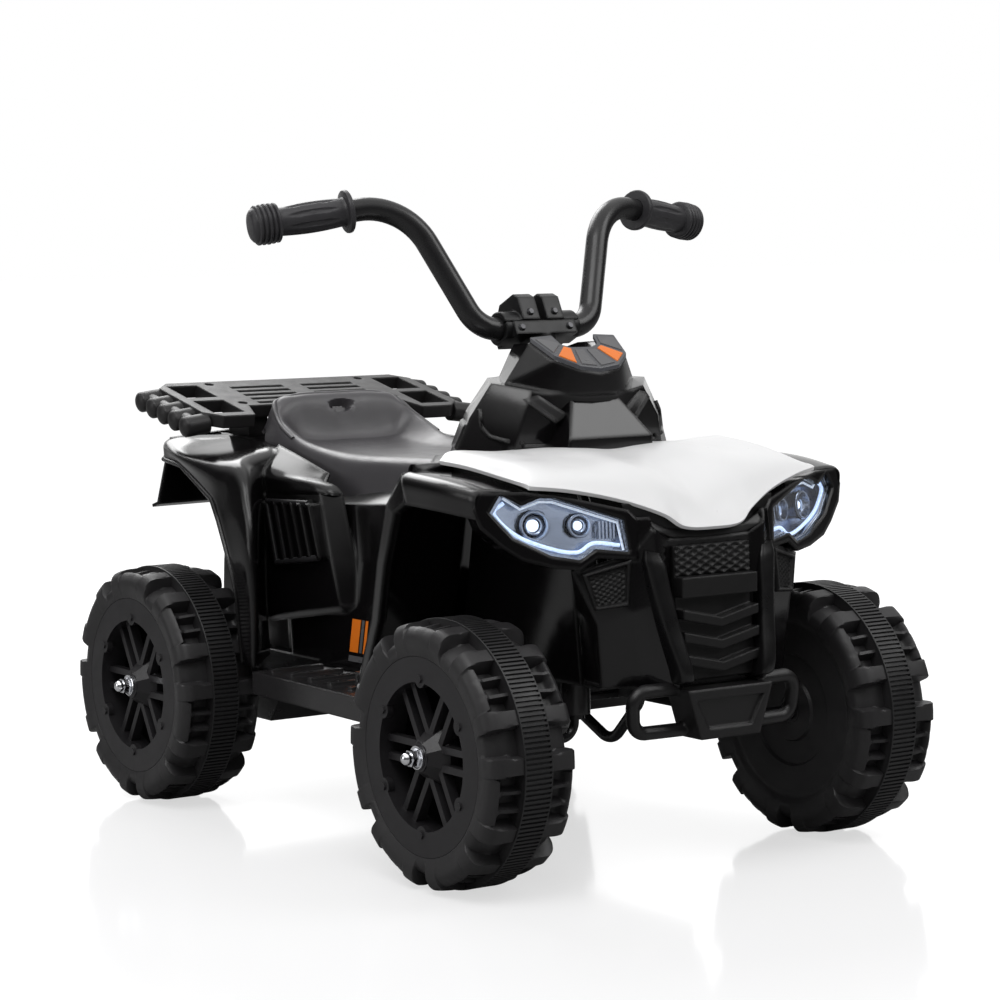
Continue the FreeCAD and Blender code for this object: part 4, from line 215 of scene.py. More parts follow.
# Colour, roughness, size and strength of the grain, and what else differs, by slot
FINISHES = {
    "tyre_plastic": ((0.0205, 0.0196, 0.0207), 0.46, 0.0007, 0.3, dict(shine=0.4)),
    "band_rubber": ((0.0155, 0.0152, 0.016), 0.46, 0.0005, 0.3, dict(shine=0.4)),
    "rim_plastic": ((0.0185, 0.0175, 0.019), 0.38, 0.0005, 0.2, dict(shine=0.35)),
    "bush_plastic": ((0.02, 0.02, 0.021), 0.5, dict(shine=0.3)),
    "black_steel": ((0.014, 0.0136, 0.0144), 0.26, 0.0012, 0.1, dict(shine=0.4)),
    "bright_nut": ((0.86, 0.87, 0.9), 0.12, 0.001, 0.05, dict(metallic=1.0, tone=0.05)),
    "axle_steel": ((0.5, 0.5, 0.52), 0.35, 0.0006, 0.2, dict(metallic=1.0)),
    "clamp_plastic": ((0.006, 0.006, 0.0065), 0.36, 0.0006, 0.2, dict(shine=0.35, edge=0.003)),
    "grip_rubber": ((0.033, 0.032, 0.035), 0.42, 0.0005, 0.3, dict(shine=0.4)),
    "chassis_plastic": ((0.02, 0.019, 0.02), 0.24, 0.0006, 0.2, dict(edge=0.003)),
    "body_black": ((0.0042, 0.0038, 0.0042), 0.13, 0.0015, 0.03, dict(ripple=0.08, edge=0.005)),
    "hood_white": ((0.84, 0.84, 0.845), 0.34, 0.0015, 0.04, dict(tone=0.012, shine=0.4)),
    "dash_trim": ((0.07, 0.072, 0.08), 0.28, 0.0008, 0.1, dict()),
    "grille_black": ((0.0065, 0.0062, 0.0065), 0.38, 0.0006, 0.3, dict(shine=0.4, edge=0.0025)),
    "reflector_silver": ((0.3, 0.34, 0.42), 0.14, 0.002, 0.2, dict(metallic=1.0, tone=0.6)),
    "seat_grey": ((0.056, 0.053, 0.058), 0.36, 0.0008, 0.4, dict(shine=0.6)),
    "rack_plastic": ((0.0145, 0.0138, 0.0142), 0.4, 0.0006, 0.25, dict(shine=0.4, edge=0.003)),
    "dark_screw": ((0.09, 0.09, 0.095), 0.4, 0.0006, 0.2, dict(metallic=1.0)),
    "gear_plastic": ((0.75, 0.75, 0.72), 0.45, dict()),
    "case_plastic": ((0.02, 0.02, 0.022), 0.5, dict()),
    "motor_metal": ((0.45, 0.45, 0.47), 0.35, dict(metallic=1.0)),
    "battery_case": ((0.05, 0.05, 0.055), 0.5, dict()),
    "pedal_plastic": ((0.0085, 0.0085, 0.009), 0.48, dict(shine=0.35)),
    "switch_plastic": ((0.01, 0.01, 0.011), 0.4, dict(shine=0.35)),
    "socket_plastic": ((0.0065, 0.0065, 0.007), 0.45, dict(shine=0.35)),
}
LOOKS = {slot: moulded(slot, *values, **more) for slot, (*values, more) in FINISHES.items()}
LOOKS["lens_clear"] = clear("lens_clear", (0.95, 0.97, 1.0), 0.02)
LOOKS["lamp_light"] = lit("lamp_light", (0.72, 0.84, 1.0), 1.6)

ORANGE_LOOK = moulded("print_orange", (0.86, 0.2, 0.012), 0.3, 0.0012, 0.05, tone=0.06)
GREY_LOOK = moulded("print_grey", (0.1, 0.1, 0.105), 0.3, 0.0012, 0.05, tone=0.1)
BUMPER_LOOK = moulded("bumper_plastic", (0.0085, 0.008, 0.0085), 0.34, 0.0006, 0.2, shine=0.45, edge=0.004)
# Painted sheen: the black body plastic made lighter on the slats, in place of the light they reflect
SLAT_SHEEN_LOOK = moulded("slat_painted_sheen", (0.02, 0.0195, 0.021), 0.3, 0.0008, 0.1)
TUSK_LOOK = moulded("tusk_plastic", (0.005, 0.0048, 0.0052), 0.3, 0.0008, 0.12, shine=0.4)
GUIDE_LOOK = lit("guide_light", (0.6, 0.74, 1.0), 0.9)
RIM_LOOK = lit("rim_light", (0.74, 0.84, 1.0), 0.5)
NODE_LOOKS = {"clamp_screws": LOOKS["dark_screw"], "front_bumper": BUMPER_LOOK}


# Solids carried over, with softened edges

def smooth_group(limit):
    """Geometry nodes that shade smooth and keep edges above an angle sharp."""
    group = bpy.data.node_groups.new("smooth_by_angle", "GeometryNodeTree")
    for end in ("INPUT", "OUTPUT"):
        group.interface.new_socket("Geometry", in_out=end, socket_type="NodeSocketGeometry")
    made = Nodes(group)
    angle = made.node("GeometryNodeInputMeshEdgeAngle").outputs["Unsigned Angle"]
    above = made.node("FunctionNodeCompare", A=angle, B=limit)
    above.operation = "GREATER_THAN"
    faces = made.node("GeometryNodeSetShadeSmooth", Geometry=made.node("NodeGroupInput").outputs[0])
    faces.domain = "FACE"
    edges = made.node("GeometryNodeSetShadeSmooth", Geometry=faces.outputs[0], Selection=above.outputs[0],
                      Shade_Smooth=False)
    edges.domain = "EDGE"
    made.node("NodeGroupOutput", edges.outputs[0])
    return group


SHARP_ANGLE = 38
SMOOTH = smooth_group(math.radians(SHARP_ANGLE))
WELD_DISTANCE = 0.01


def shade(piece):
    """Smooth shading up to the sharp edges."""
    piece.modifiers.new("smooth", "NODES").node_group = SMOOTH
    weighted = piece.modifiers.new("weighted", "WEIGHTED_NORMAL")
    weighted.keep_sharp = True


def round_edges(piece, width, segments, angle):
    """Bevel of a width in millimetres on the edges above an angle in degrees."""
    bevel = piece.modifiers.new("bevel", "BEVEL")
    bevel.width = width * MM
    bevel.segments = segments
    bevel.limit_method = "ANGLE"
    bevel.angle_limit = math.radians(angle)
    return bevel


def soften(piece, width, segments=2, angle=24):
    """Clean the triangles of a piece and round its edges."""
    weld = piece.modifiers.new("weld", "WELD")
    weld.merge_threshold = WELD_DISTANCE * MM
    bevel = round_edges(piece, width, segments, angle)
    bevel.use_clamp_overlap = True
    bevel.miter_outer = "MITER_ARC"
    shade(piece)


ROUNDING = {
    "front_body": 2.2, "rear_body": 2.2, "steering_cowl": 2.0, "lower_chassis": 1.5, "rear_rack": 1.6,
    "front_bumper": 1.5, "grille": 1.2, "dash_panel": 0.8, "bar_clamp": 1.5, "clamp_caps": 1.5,
}
PLAIN_ROUNDING = 0.5
slot_of = {entry["node"]: entry["material_slot"] for entry in frame["record"]["subparts"]}
for name, piece in nodes.items():
    piece.data.materials.clear()
    piece.data.materials.append(NODE_LOOKS.get(name, LOOKS[slot_of[name]]))
    soften(piece, ROUNDING.get(name, PLAIN_ROUNDING))


# New pieces

MERGE_DISTANCE = 0.002


def new_piece(name, points, faces, body, slot, replaced=(), look=None):
    """Mesh piece from points in millimetres, riding on a body with the finish of a slot."""
    mesh = bpy.data.meshes.new(name)
    mesh.from_pydata([Vector(point) * MM for point in points], [], faces)
    mesh.validate()
    maker = bmesh.new()
    maker.from_mesh(mesh)
    bmesh.ops.remove_doubles(maker, verts=maker.verts, dist=MERGE_DISTANCE * MM)
    bmesh.ops.recalc_face_normals(maker, faces=maker.faces)
    maker.to_mesh(mesh)
    maker.free()
    piece = bpy.data.objects.new(name, mesh)
    bpy.context.scene.collection.objects.link(piece)
    mesh.materials.append(look or LOOKS[slot])
    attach(piece, body)
    if replaced:
        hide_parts(*replaced)
    return piece


def grid_faces(rows, columns, wrap_rows=False, wrap_columns=False):
    """Quads of a grid of points, closed on itself where asked."""
    faces = []
    for row in range(rows if wrap_rows else rows - 1):
        for column in range(columns if wrap_columns else columns - 1):
            next_row = (row + 1) % rows
            next_column = (column + 1) % columns
            faces.append((row * columns + column, row * columns + next_column,
                          next_row * columns + next_column, next_row * columns + column))
    return faces


def bar_faces(rows, sides):
    """Faces of a closed bar: its sides and both end caps."""
    faces = grid_faces(rows, sides, wrap_columns=True)
    faces.append(tuple(range(sides)))
    faces.append(tuple(reversed(range((rows - 1) * sides, rows * sides))))
    return faces


def curve_through(points, count):
    """Evenly counted points on a smooth curve through a few points."""
    points = np.array(points, float)
    ahead = 2 * points[-1] - points[-2]
    behind = 2 * points[0] - points[1]
    knots = np.vstack([behind, points, ahead])
    spans = len(points) - 1
    result = []
    for step in range(count):
        place = spans * step / (count - 1)
        span = min(int(place), spans - 1)
        t = place - span
        a, b, c, d = knots[span:span + 4]
        result.append(0.5 * (2 * b + (c - a) * t + (2 * a - 5 * b + 4 * c - d) * t ** 2
                             + (3 * b - a - 3 * c + d) * t ** 3))
    return np.array(result)


def smooth_sheet(rows, row_count, column_count):
    """Grid of points on a smooth surface through rows of points."""
    fine_rows = np.array([curve_through(row, column_count) for row in rows])
    columns = [curve_through(fine_rows[:, column], row_count) for column in range(column_count)]
    return np.array(columns).transpose(1, 0, 2)


def step_up(value, low, high):
    """Smooth step from 0 to 1."""
    t = np.clip((value - low) / (high - low), 0, 1)
    return t * t * (3 - 2 * t)


def thicken(piece, wall):
    """Wall of a thickness in millimetres, behind the faces of a sheet."""
    solid = piece.modifiers.new("wall", "SOLIDIFY")
    solid.thickness = wall * MM
    solid.offset = -1


# Tyres: each of seven block pairs holds a ribbed pocket

PAIR_COUNT = 7
BLOCK_ANGLE = 15.5
BLOCK_HALF_ANGLE = 3.7
BLOCK_FLARE = 1.5
BLOCK_EDGE = (-0.35, 0.75)
POCKET_EDGE = 3
RIB_ANGLE = 4.2
RIB_EDGE = (0.9, 1.7)
CARCASS = ((14, 104), (22, 103.4), (30, 102), (35, 100), (39.5, 96.5), (41, 92), (41.2, 88), (40, 85))
BLOCK = ((14, 113.5), (22, 113.4), (30, 113), (37, 111.6), (42, 106), (43.2, 98), (42, 91.5), (40, 85))
POCKET = ((14, 100), (20, 100), (27, 100), (31, 102), (35.5, 109.5), (41.5, 104), (42.9, 97), (40, 85))
RIB = ((14, 110), (20, 109.5), (27, 108.5), (31, 108), (35.5, 109.5), (41.5, 104), (42.9, 97), (40, 85))
INNER_DISC = ((-36, 12.8), (-36, 28), (-33, 30), (-33, 50), (-36, 52), (-36, 78), (-38, 82))
BAND_SEAT = ((-14, 112), (14, 112))
INNER_WALL = ((34, 85), (34, 91), (-30, 91), (-33, 76), (-33.5, 12.8))
PERIOD_STEPS = 72
PROFILE_STEPS = 22


def tyre_half():
    """Points of the tyre from the band to the bead, by angle and by place across."""
    stations = np.linspace(0, 1, PROFILE_STEPS)
    lines = (CARCASS, POCKET, RIB, BLOCK)
    carcass, pocket, rib, block = [curve_through(line, PROFILE_STEPS) for line in lines]
    ring = []
    for step in range(PAIR_COUNT * PERIOD_STEPS):
        share = (step % PERIOD_STEPS) / PERIOD_STEPS - 0.5
        angle = abs(share * 360 / PAIR_COUNT)
        half = BLOCK_HALF_ANGLE + BLOCK_FLARE * stations
        block_mask = 1 - step_up(np.abs(angle - BLOCK_ANGLE) - half, *BLOCK_EDGE)
        pocket_mask = 1 - step_up(angle, BLOCK_ANGLE - POCKET_EDGE, BLOCK_ANGLE)
        rib_mask = 1 - step_up(abs(angle - RIB_ANGLE), *RIB_EDGE)
        line = carcass + (pocket - carcass) * pocket_mask
        line = line + (rib - line) * rib_mask * pocket_mask
        line = line + (block - line) * block_mask[:, None]
        ring.append(line)
    return np.array(ring)


def turned(ring, turns):
    """Points in space from (across, radius) pairs at each angle, +Z first, turning to +X."""
    across, radius = ring[:, :, 0], ring[:, :, 1]
    return np.stack([radius * np.sin(turns)[:, None], across, radius * np.cos(turns)[:, None]], axis=2)


def tyre_ring():
    """Whole tyre: inner disc, inner half, band seat, outer half and the wall behind them."""
    half = tyre_half()
    count = len(half)
    disc, seat, wall = [np.array([line] * count, float) for line in (INNER_DISC, BAND_SEAT, INNER_WALL)]
    inner = half[:, ::-1] * np.array([-1, 1])
    turns = 2 * math.pi * (np.arange(count) / count) - math.pi / PAIR_COUNT
    return turned(np.concatenate([disc, inner, seat, half, wall], axis=1), turns)


RIB_COUNT = 168
BAND_LINES = ((-14, 112, 112), (-14, 114.7, 114.7), (-13.6, 115, 115), (-12.9, 115, 115),
              (-12.3, 114.9, 113.1), (12.3, 114.9, 113.1), (12.9, 115, 115), (13.6, 115, 115),
              (14, 114.7, 114.7), (14, 112, 112))
RIB_SHARES = ((-0.25, 0), (0.25, 0), (0.33, 1), (0.67, 1))


def band_ring():
    """Ribbed band with a rail along each edge."""
    ring, turns = [], []
    for rib in range(RIB_COUNT):
        for share, low in RIB_SHARES:
            turns.append(2 * math.pi * (rib + share) / RIB_COUNT)
            ring.append([(across, deep if low else high) for across, high, deep in BAND_LINES])
    return turned(np.array(ring, float), np.array(turns))


def wheel_piece(name, ring, corner, slot, node):
    """Ring of points set on one wheel."""
    end, side = CORNERS[corner]
    middle = np.array([end * AXLE_X, side * WHEEL_Y, WHEEL_RADIUS])
    points = ring.reshape(-1, 3) * np.array([1, side, 1]) + middle
    faces = grid_faces(len(ring), len(ring[0]), wrap_rows=True, wrap_columns=True)
    shade(new_piece(name, points, faces, corner + "_wheel", slot, [node]))


tyre_points = tyre_ring()
band_points = band_ring()
for corner in CORNERS:
    wheel_piece(corner + "_tyre_lugs", tyre_points, corner, "tyre_plastic", corner + "_tyre")
    wheel_piece(corner + "_band_ribs", band_points, corner, "band_rubber", corner + "_tread_band")


# Hood and seat: smooth moulded sheets through a few given points

HOOD_SHARES = (
    ((-0.89, 0, 0.895), (-0.89, 0.15, 0.900), (-0.88, 0.30, 0.902), (-0.87, 0.50, 0.900),
     (-0.85, 0.74, 0.907), (-0.75, 0.84, 0.890)),
    ((-0.44, 0, 0.897), (-0.44, 0.15, 0.903), (-0.44, 0.30, 0.906), (-0.44, 0.48, 0.899),
     (-0.43, 0.71, 0.902), (-0.40, 0.815, 0.882)),
    ((-0.04, 0, 0.884), (-0.05, 0.14, 0.893), (-0.06, 0.28, 0.900), (-0.06, 0.46, 0.892),
     (-0.06, 0.69, 0.892), (-0.02, 0.795, 0.868)),
    ((0.36, 0, 0.850), (0.34, 0.13, 0.868), (0.31, 0.26, 0.884), (0.28, 0.43, 0.882),
     (0.24, 0.67, 0.877), (0.26, 0.787, 0.859)),
    ((0.70, 0, 0.808), (0.68, 0.13, 0.826), (0.63, 0.25, 0.845), (0.53, 0.42, 0.858),
     (0.42, 0.64, 0.863), (0.37, 0.787, 0.856)),
    ((0.95, 0, 0.753), (0.93, 0.15, 0.757), (0.87, 0.24, 0.785), (0.72, 0.41, 0.8175),
     (0.565, 0.61, 0.841), (0.43, 0.785, 0.852)),
)
SEAT_SHARES = (
    ((2.96, 0, 0.823), (2.96, 0.20, 0.823), (2.94, 0.33, 0.821), (2.92, 0.36, 0.812)),
    ((2.96, 0, 0.853), (2.96, 0.22, 0.853), (2.93, 0.36, 0.840), (2.90, 0.40, 0.800)),
    ((2.88, 0, 0.862), (2.88, 0.25, 0.862), (2.86, 0.375, 0.848), (2.82, 0.405, 0.785)),
    ((2.20, 0, 0.856), (2.20, 0.25, 0.856), (2.20, 0.39, 0.842), (2.20, 0.415, 0.762)),
    ((1.44, 0, 0.846), (1.44, 0.25, 0.848), (1.44, 0.42, 0.842), (1.44, 0.445, 0.745)),
    ((0.74, 0, 0.848), (0.74, 0.27, 0.850), (0.74, 0.430, 0.866), (0.72, 0.46, 0.755)),
    ((0.32, 0, 0.860), (0.32, 0.27, 0.864), (0.32, 0.415, 0.906), (0.26, 0.46, 0.800)),
    ((0.17, 0, 0.874), (0.17, 0.26, 0.884), (0.16, 0.395, 0.926), (0.11, 0.45, 0.840)),
    ((0.06, 0, 0.955), (0.06, 0.225, 0.960), (0.06, 0.37, 0.945), (0.00, 0.43, 0.870)),
    ((-0.04, 0, 0.978), (-0.04, 0.225, 0.976), (-0.03, 0.35, 0.962), (-0.05, 0.41, 0.890)),
    ((-0.14, 0, 0.966), (-0.14, 0.22, 0.964), (-0.12, 0.34, 0.950), (-0.11, 0.40, 0.895)),
    ((-0.20, 0, 0.886), (-0.20, 0.22, 0.886), (-0.18, 0.33, 0.886), (-0.16, 0.40, 0.886)),
)


HOOD_WALL = 4.0
HOOD_GRID = (56, 91)
SEAT_WALL = 3.0
SEAT_GRID = (150, 97)
RIM_ROUNDING_SHARE = 0.3
RIM_SEGMENTS = 3
RIM_ANGLE = 50
NOTCH_PLACE = np.array((-246.0, 0.0, 380.0))
NOTCH_HALF = np.array((6.0, 13.0, 6.0))
NOTCH_EDGE = (0.75, 1.1)
NOTCH_PUSH = np.array((6.75, 0, 5.85))


def full_rows(table, axle_x):
    """Rows of points from side to side, from a table of shares for the left half."""
    rows = []
    for line in table:
        half = [(axle_x + x * REACH, y * BODY_HALF_WIDTH, z * BODY_HEIGHT) for x, y, z in line]
        rows.append([(x, -y, z) for x, y, z in reversed(half[1:])] + half)
    return rows


def moulded_sheet(name, grid, wall, body, slot, node):
    """Sheet of points with a wall thickness and rounded rim, in place of a node."""
    points = grid.reshape(-1, 3)
    piece = new_piece(name, points, grid_faces(len(grid), len(grid[0])), body, slot, [node])
    if sum(face.normal.z for face in piece.data.polygons) < 0:
        piece.data.flip_normals()
    thicken(piece, wall)
    round_edges(piece, RIM_ROUNDING_SHARE * wall, RIM_SEGMENTS, RIM_ANGLE)
    shade(piece)


hood_grid = smooth_sheet(full_rows(HOOD_SHARES, AXLE_X), *HOOD_GRID)
moulded_sheet("hood_shell", hood_grid, HOOD_WALL, "frame", "hood_white", "hood")

seat_grid = smooth_sheet(full_rows(SEAT_SHARES, -AXLE_X), *SEAT_GRID)
notch_reach = np.linalg.norm((seat_grid - NOTCH_PLACE) / NOTCH_HALF, axis=2)
seat_grid = seat_grid - (1 - step_up(notch_reach, *NOTCH_EDGE))[:, :, None] * NOTCH_PUSH
moulded_sheet("seat_shell", seat_grid, SEAT_WALL, "seat", "seat_grey", "seat")


# Round pieces along an axis

def lathe(profile, start, axis, steps, dent=None):
    """Points and faces of (along, radius) pairs turned about an axis, less the depth of a dent."""
    axis = Vector(axis).normalized()
    side = axis.orthogonal().normalized()
    other = axis.cross(side)
    points = []
    for step in range(steps):
        turn = 2 * math.pi * step / steps
        outward = side * math.cos(turn) + other * math.sin(turn)
        for along, radius in profile:
            depth = dent(along, turn) if dent else 0.0
            points.append(Vector(start) + axis * along + outward * (radius - depth))
    return points, grid_faces(steps, len(profile), wrap_rows=True)


def tube(line, radius, steps=10):
    """Points and faces of a round bead along a line of points."""
    line = [Vector(point) for point in line]
    points = []
    side = (line[1] - line[0]).orthogonal()
    for index, place in enumerate(line):
        ahead = (line[min(index + 1, len(line) - 1)] - line[max(index - 1, 0)]).normalized()
        side = (side - ahead * side.dot(ahead)).normalized()
        other = ahead.cross(side)
        for step in range(steps):
            turn = 2 * math.pi * step / steps
            points.append(place + (side * math.cos(turn) + other * math.sin(turn)) * radius)
    return points, bar_faces(len(line), steps)


def gather(parts):
    """One set of points and faces from several."""
    points, faces = [], []
    for part_points, part_faces in parts:
        shift = len(points)
        points += [Vector(point) for point in part_points]
        faces += [tuple(index + shift for index in face) for face in part_faces]
    return points, faces


def mirrored(part):
    """The same points and faces on the other side of the bike."""
    points, faces = part
    return [Vector((point[0], -point[1], point[2])) for point in points], faces


def on_frame(name, parts, slot, replaced=(), look=None):
    """Parts of the left side and their mirror images, as one smooth piece on the frame."""
    both = gather(parts + [mirrored(part) for part in parts])
    shade(new_piece(name, *both, "frame", slot, replaced, look))


# Grips with long oval dents, a flange and a ringed knob

GRIP_TIP = Vector((7.0, 249.0, 559.0))
GRIP_RUN = Vector((-35.0, 137.0, -20.0)).normalized()
GRIP_LENGTH = 91.0
GRIP_SIDES = 96
GRIP_FLANGE = ((0, 10.7), (0, 18.4), (0.8, 19.3), (2.5, 19.6), (4.2, 19.3), (5, 18.4), (5.4, 13.4),
               (6.4, 12.7))
SLEEVE_START = 7
SLEEVE_STEP = 1.25
SLEEVE_STEPS = 48
SLEEVE_RADIUS = 12.6
SLEEVE_SWELL = 1.5
KNOB_START = 68.0
KNOB_END = 94.0
KNOB_ROOT = ((-0.6, 12.9), (0, 15.6))
KNOB_RINGS = 5
KNOB_CROWN = 18.4
KNOB_TAPER = 0.25
KNOB_FACE = 4
KNOB_TIP = ((-2.2, 14.6), (-0.6, 12.5), (0, 9.0), (0, 0))
RING_SHAPE = ((0.12, 0.7), (0.3, 0), (0.6, 0), (0.78, 0.7), (0.9, 2.1), (1, 2.1))
DENT_COUNT = 8
DENT_DEPTH = 1.1
DENT_MIDDLE = 37.0
DENT_HALF_LENGTH = 26.0
DENT_WIDTH_SHARE = 0.5
DENT_EDGE = (0.6, 1.0)


def grip_profile():
    """Outline of a grip from the flange to the end of the knob."""
    line = list(GRIP_FLANGE)
    for step in range(1, SLEEVE_STEPS):
        swell = SLEEVE_SWELL * math.sin(math.pi * step / SLEEVE_STEPS)
        line.append((SLEEVE_START + SLEEVE_STEP * step, SLEEVE_RADIUS + swell))
    line += [(KNOB_START + along, radius) for along, radius in KNOB_ROOT]
    pitch = (KNOB_END - KNOB_FACE - KNOB_START) / KNOB_RINGS
    for ring in range(KNOB_RINGS):
        crown = KNOB_CROWN - KNOB_TAPER * abs(ring - KNOB_RINGS // 2)
        line += [(KNOB_START + (ring + share) * pitch, crown - drop) for share, drop in RING_SHAPE]
    return line + [(KNOB_END + along, radius) for along, radius in KNOB_TIP]


def grip_dent(along, turn):
    """Depth of the oval dents round the middle of a grip."""
    across = ((turn * DENT_COUNT / (2 * math.pi)) % 1.0 - 0.5) * 2
    lengthwise = (along - DENT_MIDDLE) / DENT_HALF_LENGTH
    reach = math.hypot(across / DENT_WIDTH_SHARE, lengthwise)
    return DENT_DEPTH * float(1 - step_up(reach, *DENT_EDGE))


grip_part = lathe(grip_profile(), GRIP_TIP - GRIP_RUN * GRIP_LENGTH, GRIP_RUN, GRIP_SIDES, grip_dent)
shade(new_piece("left_grip_sleeve", *grip_part, "steering", "grip_rubber", ["left_grip"]))
shade(new_piece("right_grip_sleeve", *mirrored(grip_part), "steering", "grip_rubber", ["right_grip"]))


# Lip along the crest of the seat's back rim
LIP_SHARES = ((-0.06, 0, 0.976), (-0.06, 0.225, 0.974), (-0.05, 0.345, 0.961), (0.04, 0.382, 0.944),
              (0.16, 0.402, 0.922), (0.32, 0.420, 0.901), (0.54, 0.428, 0.878))
LIP_RADIUS = 2.4
LIP_STEPS = 120
LIP_SIDES = 12
lip_line = curve_through(full_rows((LIP_SHARES,), -AXLE_X)[0], LIP_STEPS)
shade(new_piece("seat_lip", *tube(lip_line, LIP_RADIUS, LIP_SIDES), "seat", "seat_grey"))


# Headlights: cups, domed lamps, a light guide and prism fins behind the lens

LENS_YAW = math.radians(21.5)
LENS_TILT = math.radians(6.0)
LENS_CORNER = Vector((AXLE_X + 73.0, 79.5, 295.0))
LENS_LENGTH = 120.0
LENS_HEIGHT = 40.0
LENS_FACING = Vector((math.cos(LENS_YAW) * math.cos(LENS_TILT), math.sin(LENS_YAW) * math.cos(LENS_TILT),
                      math.sin(LENS_TILT)))
LENS_ALONG = Vector((-math.sin(LENS_YAW), math.cos(LENS_YAW), 0))
LENS_UP = LENS_FACING.cross(LENS_ALONG)
LAMPS = ((0.635, 0.31, 11.0), (0.31, 0.28, 8.5))
LAMP_BACK = 17.5
LAMP_SIDES = 40
CUP_AHEAD = 2.5
CUP_DEPTH_SHARE = 0.45
CUP_FLOOR_SHARE = 0.55
CUP_RIM = 1.2
BULB_SHARE = 0.46
BULB_NECK = 2.0
BULB_STEP = (0.4, 0.5)
BULB_HEIGHT_SHARE = 0.75
BULB_SIDES = 32
RING_PLACES = ((0.68, 13.5), (1.12, 10.0))
RING_PROFILE = ((0, -1.0), (1.6, -0.8), (2.0, 0), (1.6, 0.8), (0, 1.0))
GUIDE_SHARES = ((0.03, -0.16), (0.22, -0.10), (0.34, -0.28), (0.53, -0.19), (0.78, 0.12), (0.93, 0.58),
                (0.86, 0.80))
GUIDE_DEPTH = 6.5
GUIDE_RADIUS = 1.7
GUIDE_STEPS = 60
RIM_SHARES = ((0.87, 0.90), (0.75, 0.66), (0.61, 0.80), (0.52, 0.79), (0.05, 0.32), (0.01, -0.26))
RIM_DEPTH = 4.0
RIM_RADIUS = 1.1
FIN_COUNT = 5
FIN_FIRST = 0.06
FIN_PITCH = 0.026
FIN_WIDTH = 0.013
FIN_ENDS = (-0.02, 0.36)
FIN_DEPTHS = (7.0, 11.0)
BOX_FACES = [(0, 1, 2, 3), (7, 6, 5, 4), (0, 4, 5, 1), (1, 5, 6, 2), (2, 6, 7, 3), (3, 7, 4, 0)]
CURVE_STEPS = 9


def on_lens(along, high, depth):
    """Point of the left headlight: shares of its length and height, and a depth behind its face."""
    return (LENS_CORNER + LENS_ALONG * (along * LENS_LENGTH) + LENS_UP * (high * LENS_HEIGHT)
            - LENS_FACING * depth)


def lamp_cup(along, high, radius):
    """Bright bowl round a lamp."""
    depth = LAMP_BACK * CUP_DEPTH_SHARE
    line = [(depth * part ** 2, radius * (CUP_FLOOR_SHARE + (1 - CUP_FLOOR_SHARE) * part))
            for part in np.linspace(0, 1, CURVE_STEPS)]
    line += [(depth, radius + CUP_RIM), (0, radius + CUP_RIM)]
    return lathe(line, on_lens(along, high, LAMP_BACK - CUP_AHEAD), LENS_FACING, LAMP_SIDES)


def lamp_dome(along, high, radius):
    """Domed lamp on a stepped neck."""
    bulb = BULB_SHARE * radius
    foot, rim = BULB_NECK + BULB_STEP[0], bulb - BULB_STEP[1]
    line = [(0, bulb), (BULB_NECK, bulb), (foot, rim)]
    line += [(foot + bulb * BULB_HEIGHT_SHARE * math.sin(turn), rim * math.cos(turn))
             for turn in np.linspace(0, math.pi / 2, CURVE_STEPS)]
    return lathe(line, on_lens(along, high, LAMP_BACK), LENS_FACING, BULB_SIDES)


def lamp_ring(along, high, radius, depth):
    """Raised ring round a lamp."""
    line = [(rise, radius + out) for rise, out in RING_PROFILE]
    return lathe(line, on_lens(along, high, depth), LENS_FACING, LAMP_SIDES)


def fin(place):
    """Small prism bar beside the inner lamp."""
    low, high = FIN_ENDS
    outline = ((place, low), (place + FIN_WIDTH, low), (place + FIN_WIDTH, high), (place, high))
    return [on_lens(along, up, depth) for depth in FIN_DEPTHS for along, up in outline], BOX_FACES


on_frame("headlight_cups", [lamp_cup(*lamp) for lamp in LAMPS], "reflector_silver")
on_frame("headlight_domes", [lamp_dome(*lamp) for lamp in LAMPS], "lamp_light", ["headlight_lamps"])
rings = [lamp_ring(along, high, share * radius, depth)
         for along, high, radius in LAMPS for share, depth in RING_PLACES]
on_frame("headlight_rings", rings, "reflector_silver")
guide_line = curve_through([on_lens(*share, GUIDE_DEPTH) for share in GUIDE_SHARES], GUIDE_STEPS)
on_frame("headlight_guides", [tube(guide_line, GUIDE_RADIUS)], "lamp_light", look=GUIDE_LOOK)
rim_line = [on_lens(*share, RIM_DEPTH) for share in RIM_SHARES]
on_frame("headlight_rims", [tube(rim_line, RIM_RADIUS)], "lamp_light", look=RIM_LOOK)
fins = [fin(FIN_FIRST + FIN_PITCH * step) for step in range(FIN_COUNT)]
on_frame("headlight_fins", fins, "reflector_silver")


# Pieces laid on the solids: meshes, pads, prints and windows

WIRE_SHARPNESS = 5
FILM = 0.3
FILM_WALL = 0.6
PLATE_WALL = 1.2
PATCH_SINK = 1.0
DRAPE_LIMIT = 25.0


def blend(corners, u, v):
    """Place inside four corners."""
    a, b, c, d = corners
    return (a * (1 - u) + b * u) * (1 - v) + (d * (1 - u) + c * u) * v


def patch_size(corners):
    """Mean width and height between four corners."""
    a, b, c, d = corners
    return ((b - a).length + (c - d).length) / 2, ((d - a).length + (c - b).length) / 2


def net(across, up, pitch_across, pitch_up):
    """Height of crossing wires, from 0 to 1."""
    first = abs(math.cos(math.pi * (across / pitch_across + up / pitch_up)))
    second = abs(math.cos(math.pi * (across / pitch_across - up / pitch_up)))
    return max(first, second) ** WIRE_SHARPNESS


def patch(corners, columns, rows, raised):
    """Grid between four corners; a function of place and distances across and up gives each point."""
    width, height = patch_size(corners)
    points = []
    for row in range(rows + 1):
        for column in range(columns + 1):
            u, v = column / columns, row / rows
            points.append(raised(blend(corners, u, v), u * width, v * height))
    return points, grid_faces(rows + 1, columns + 1)


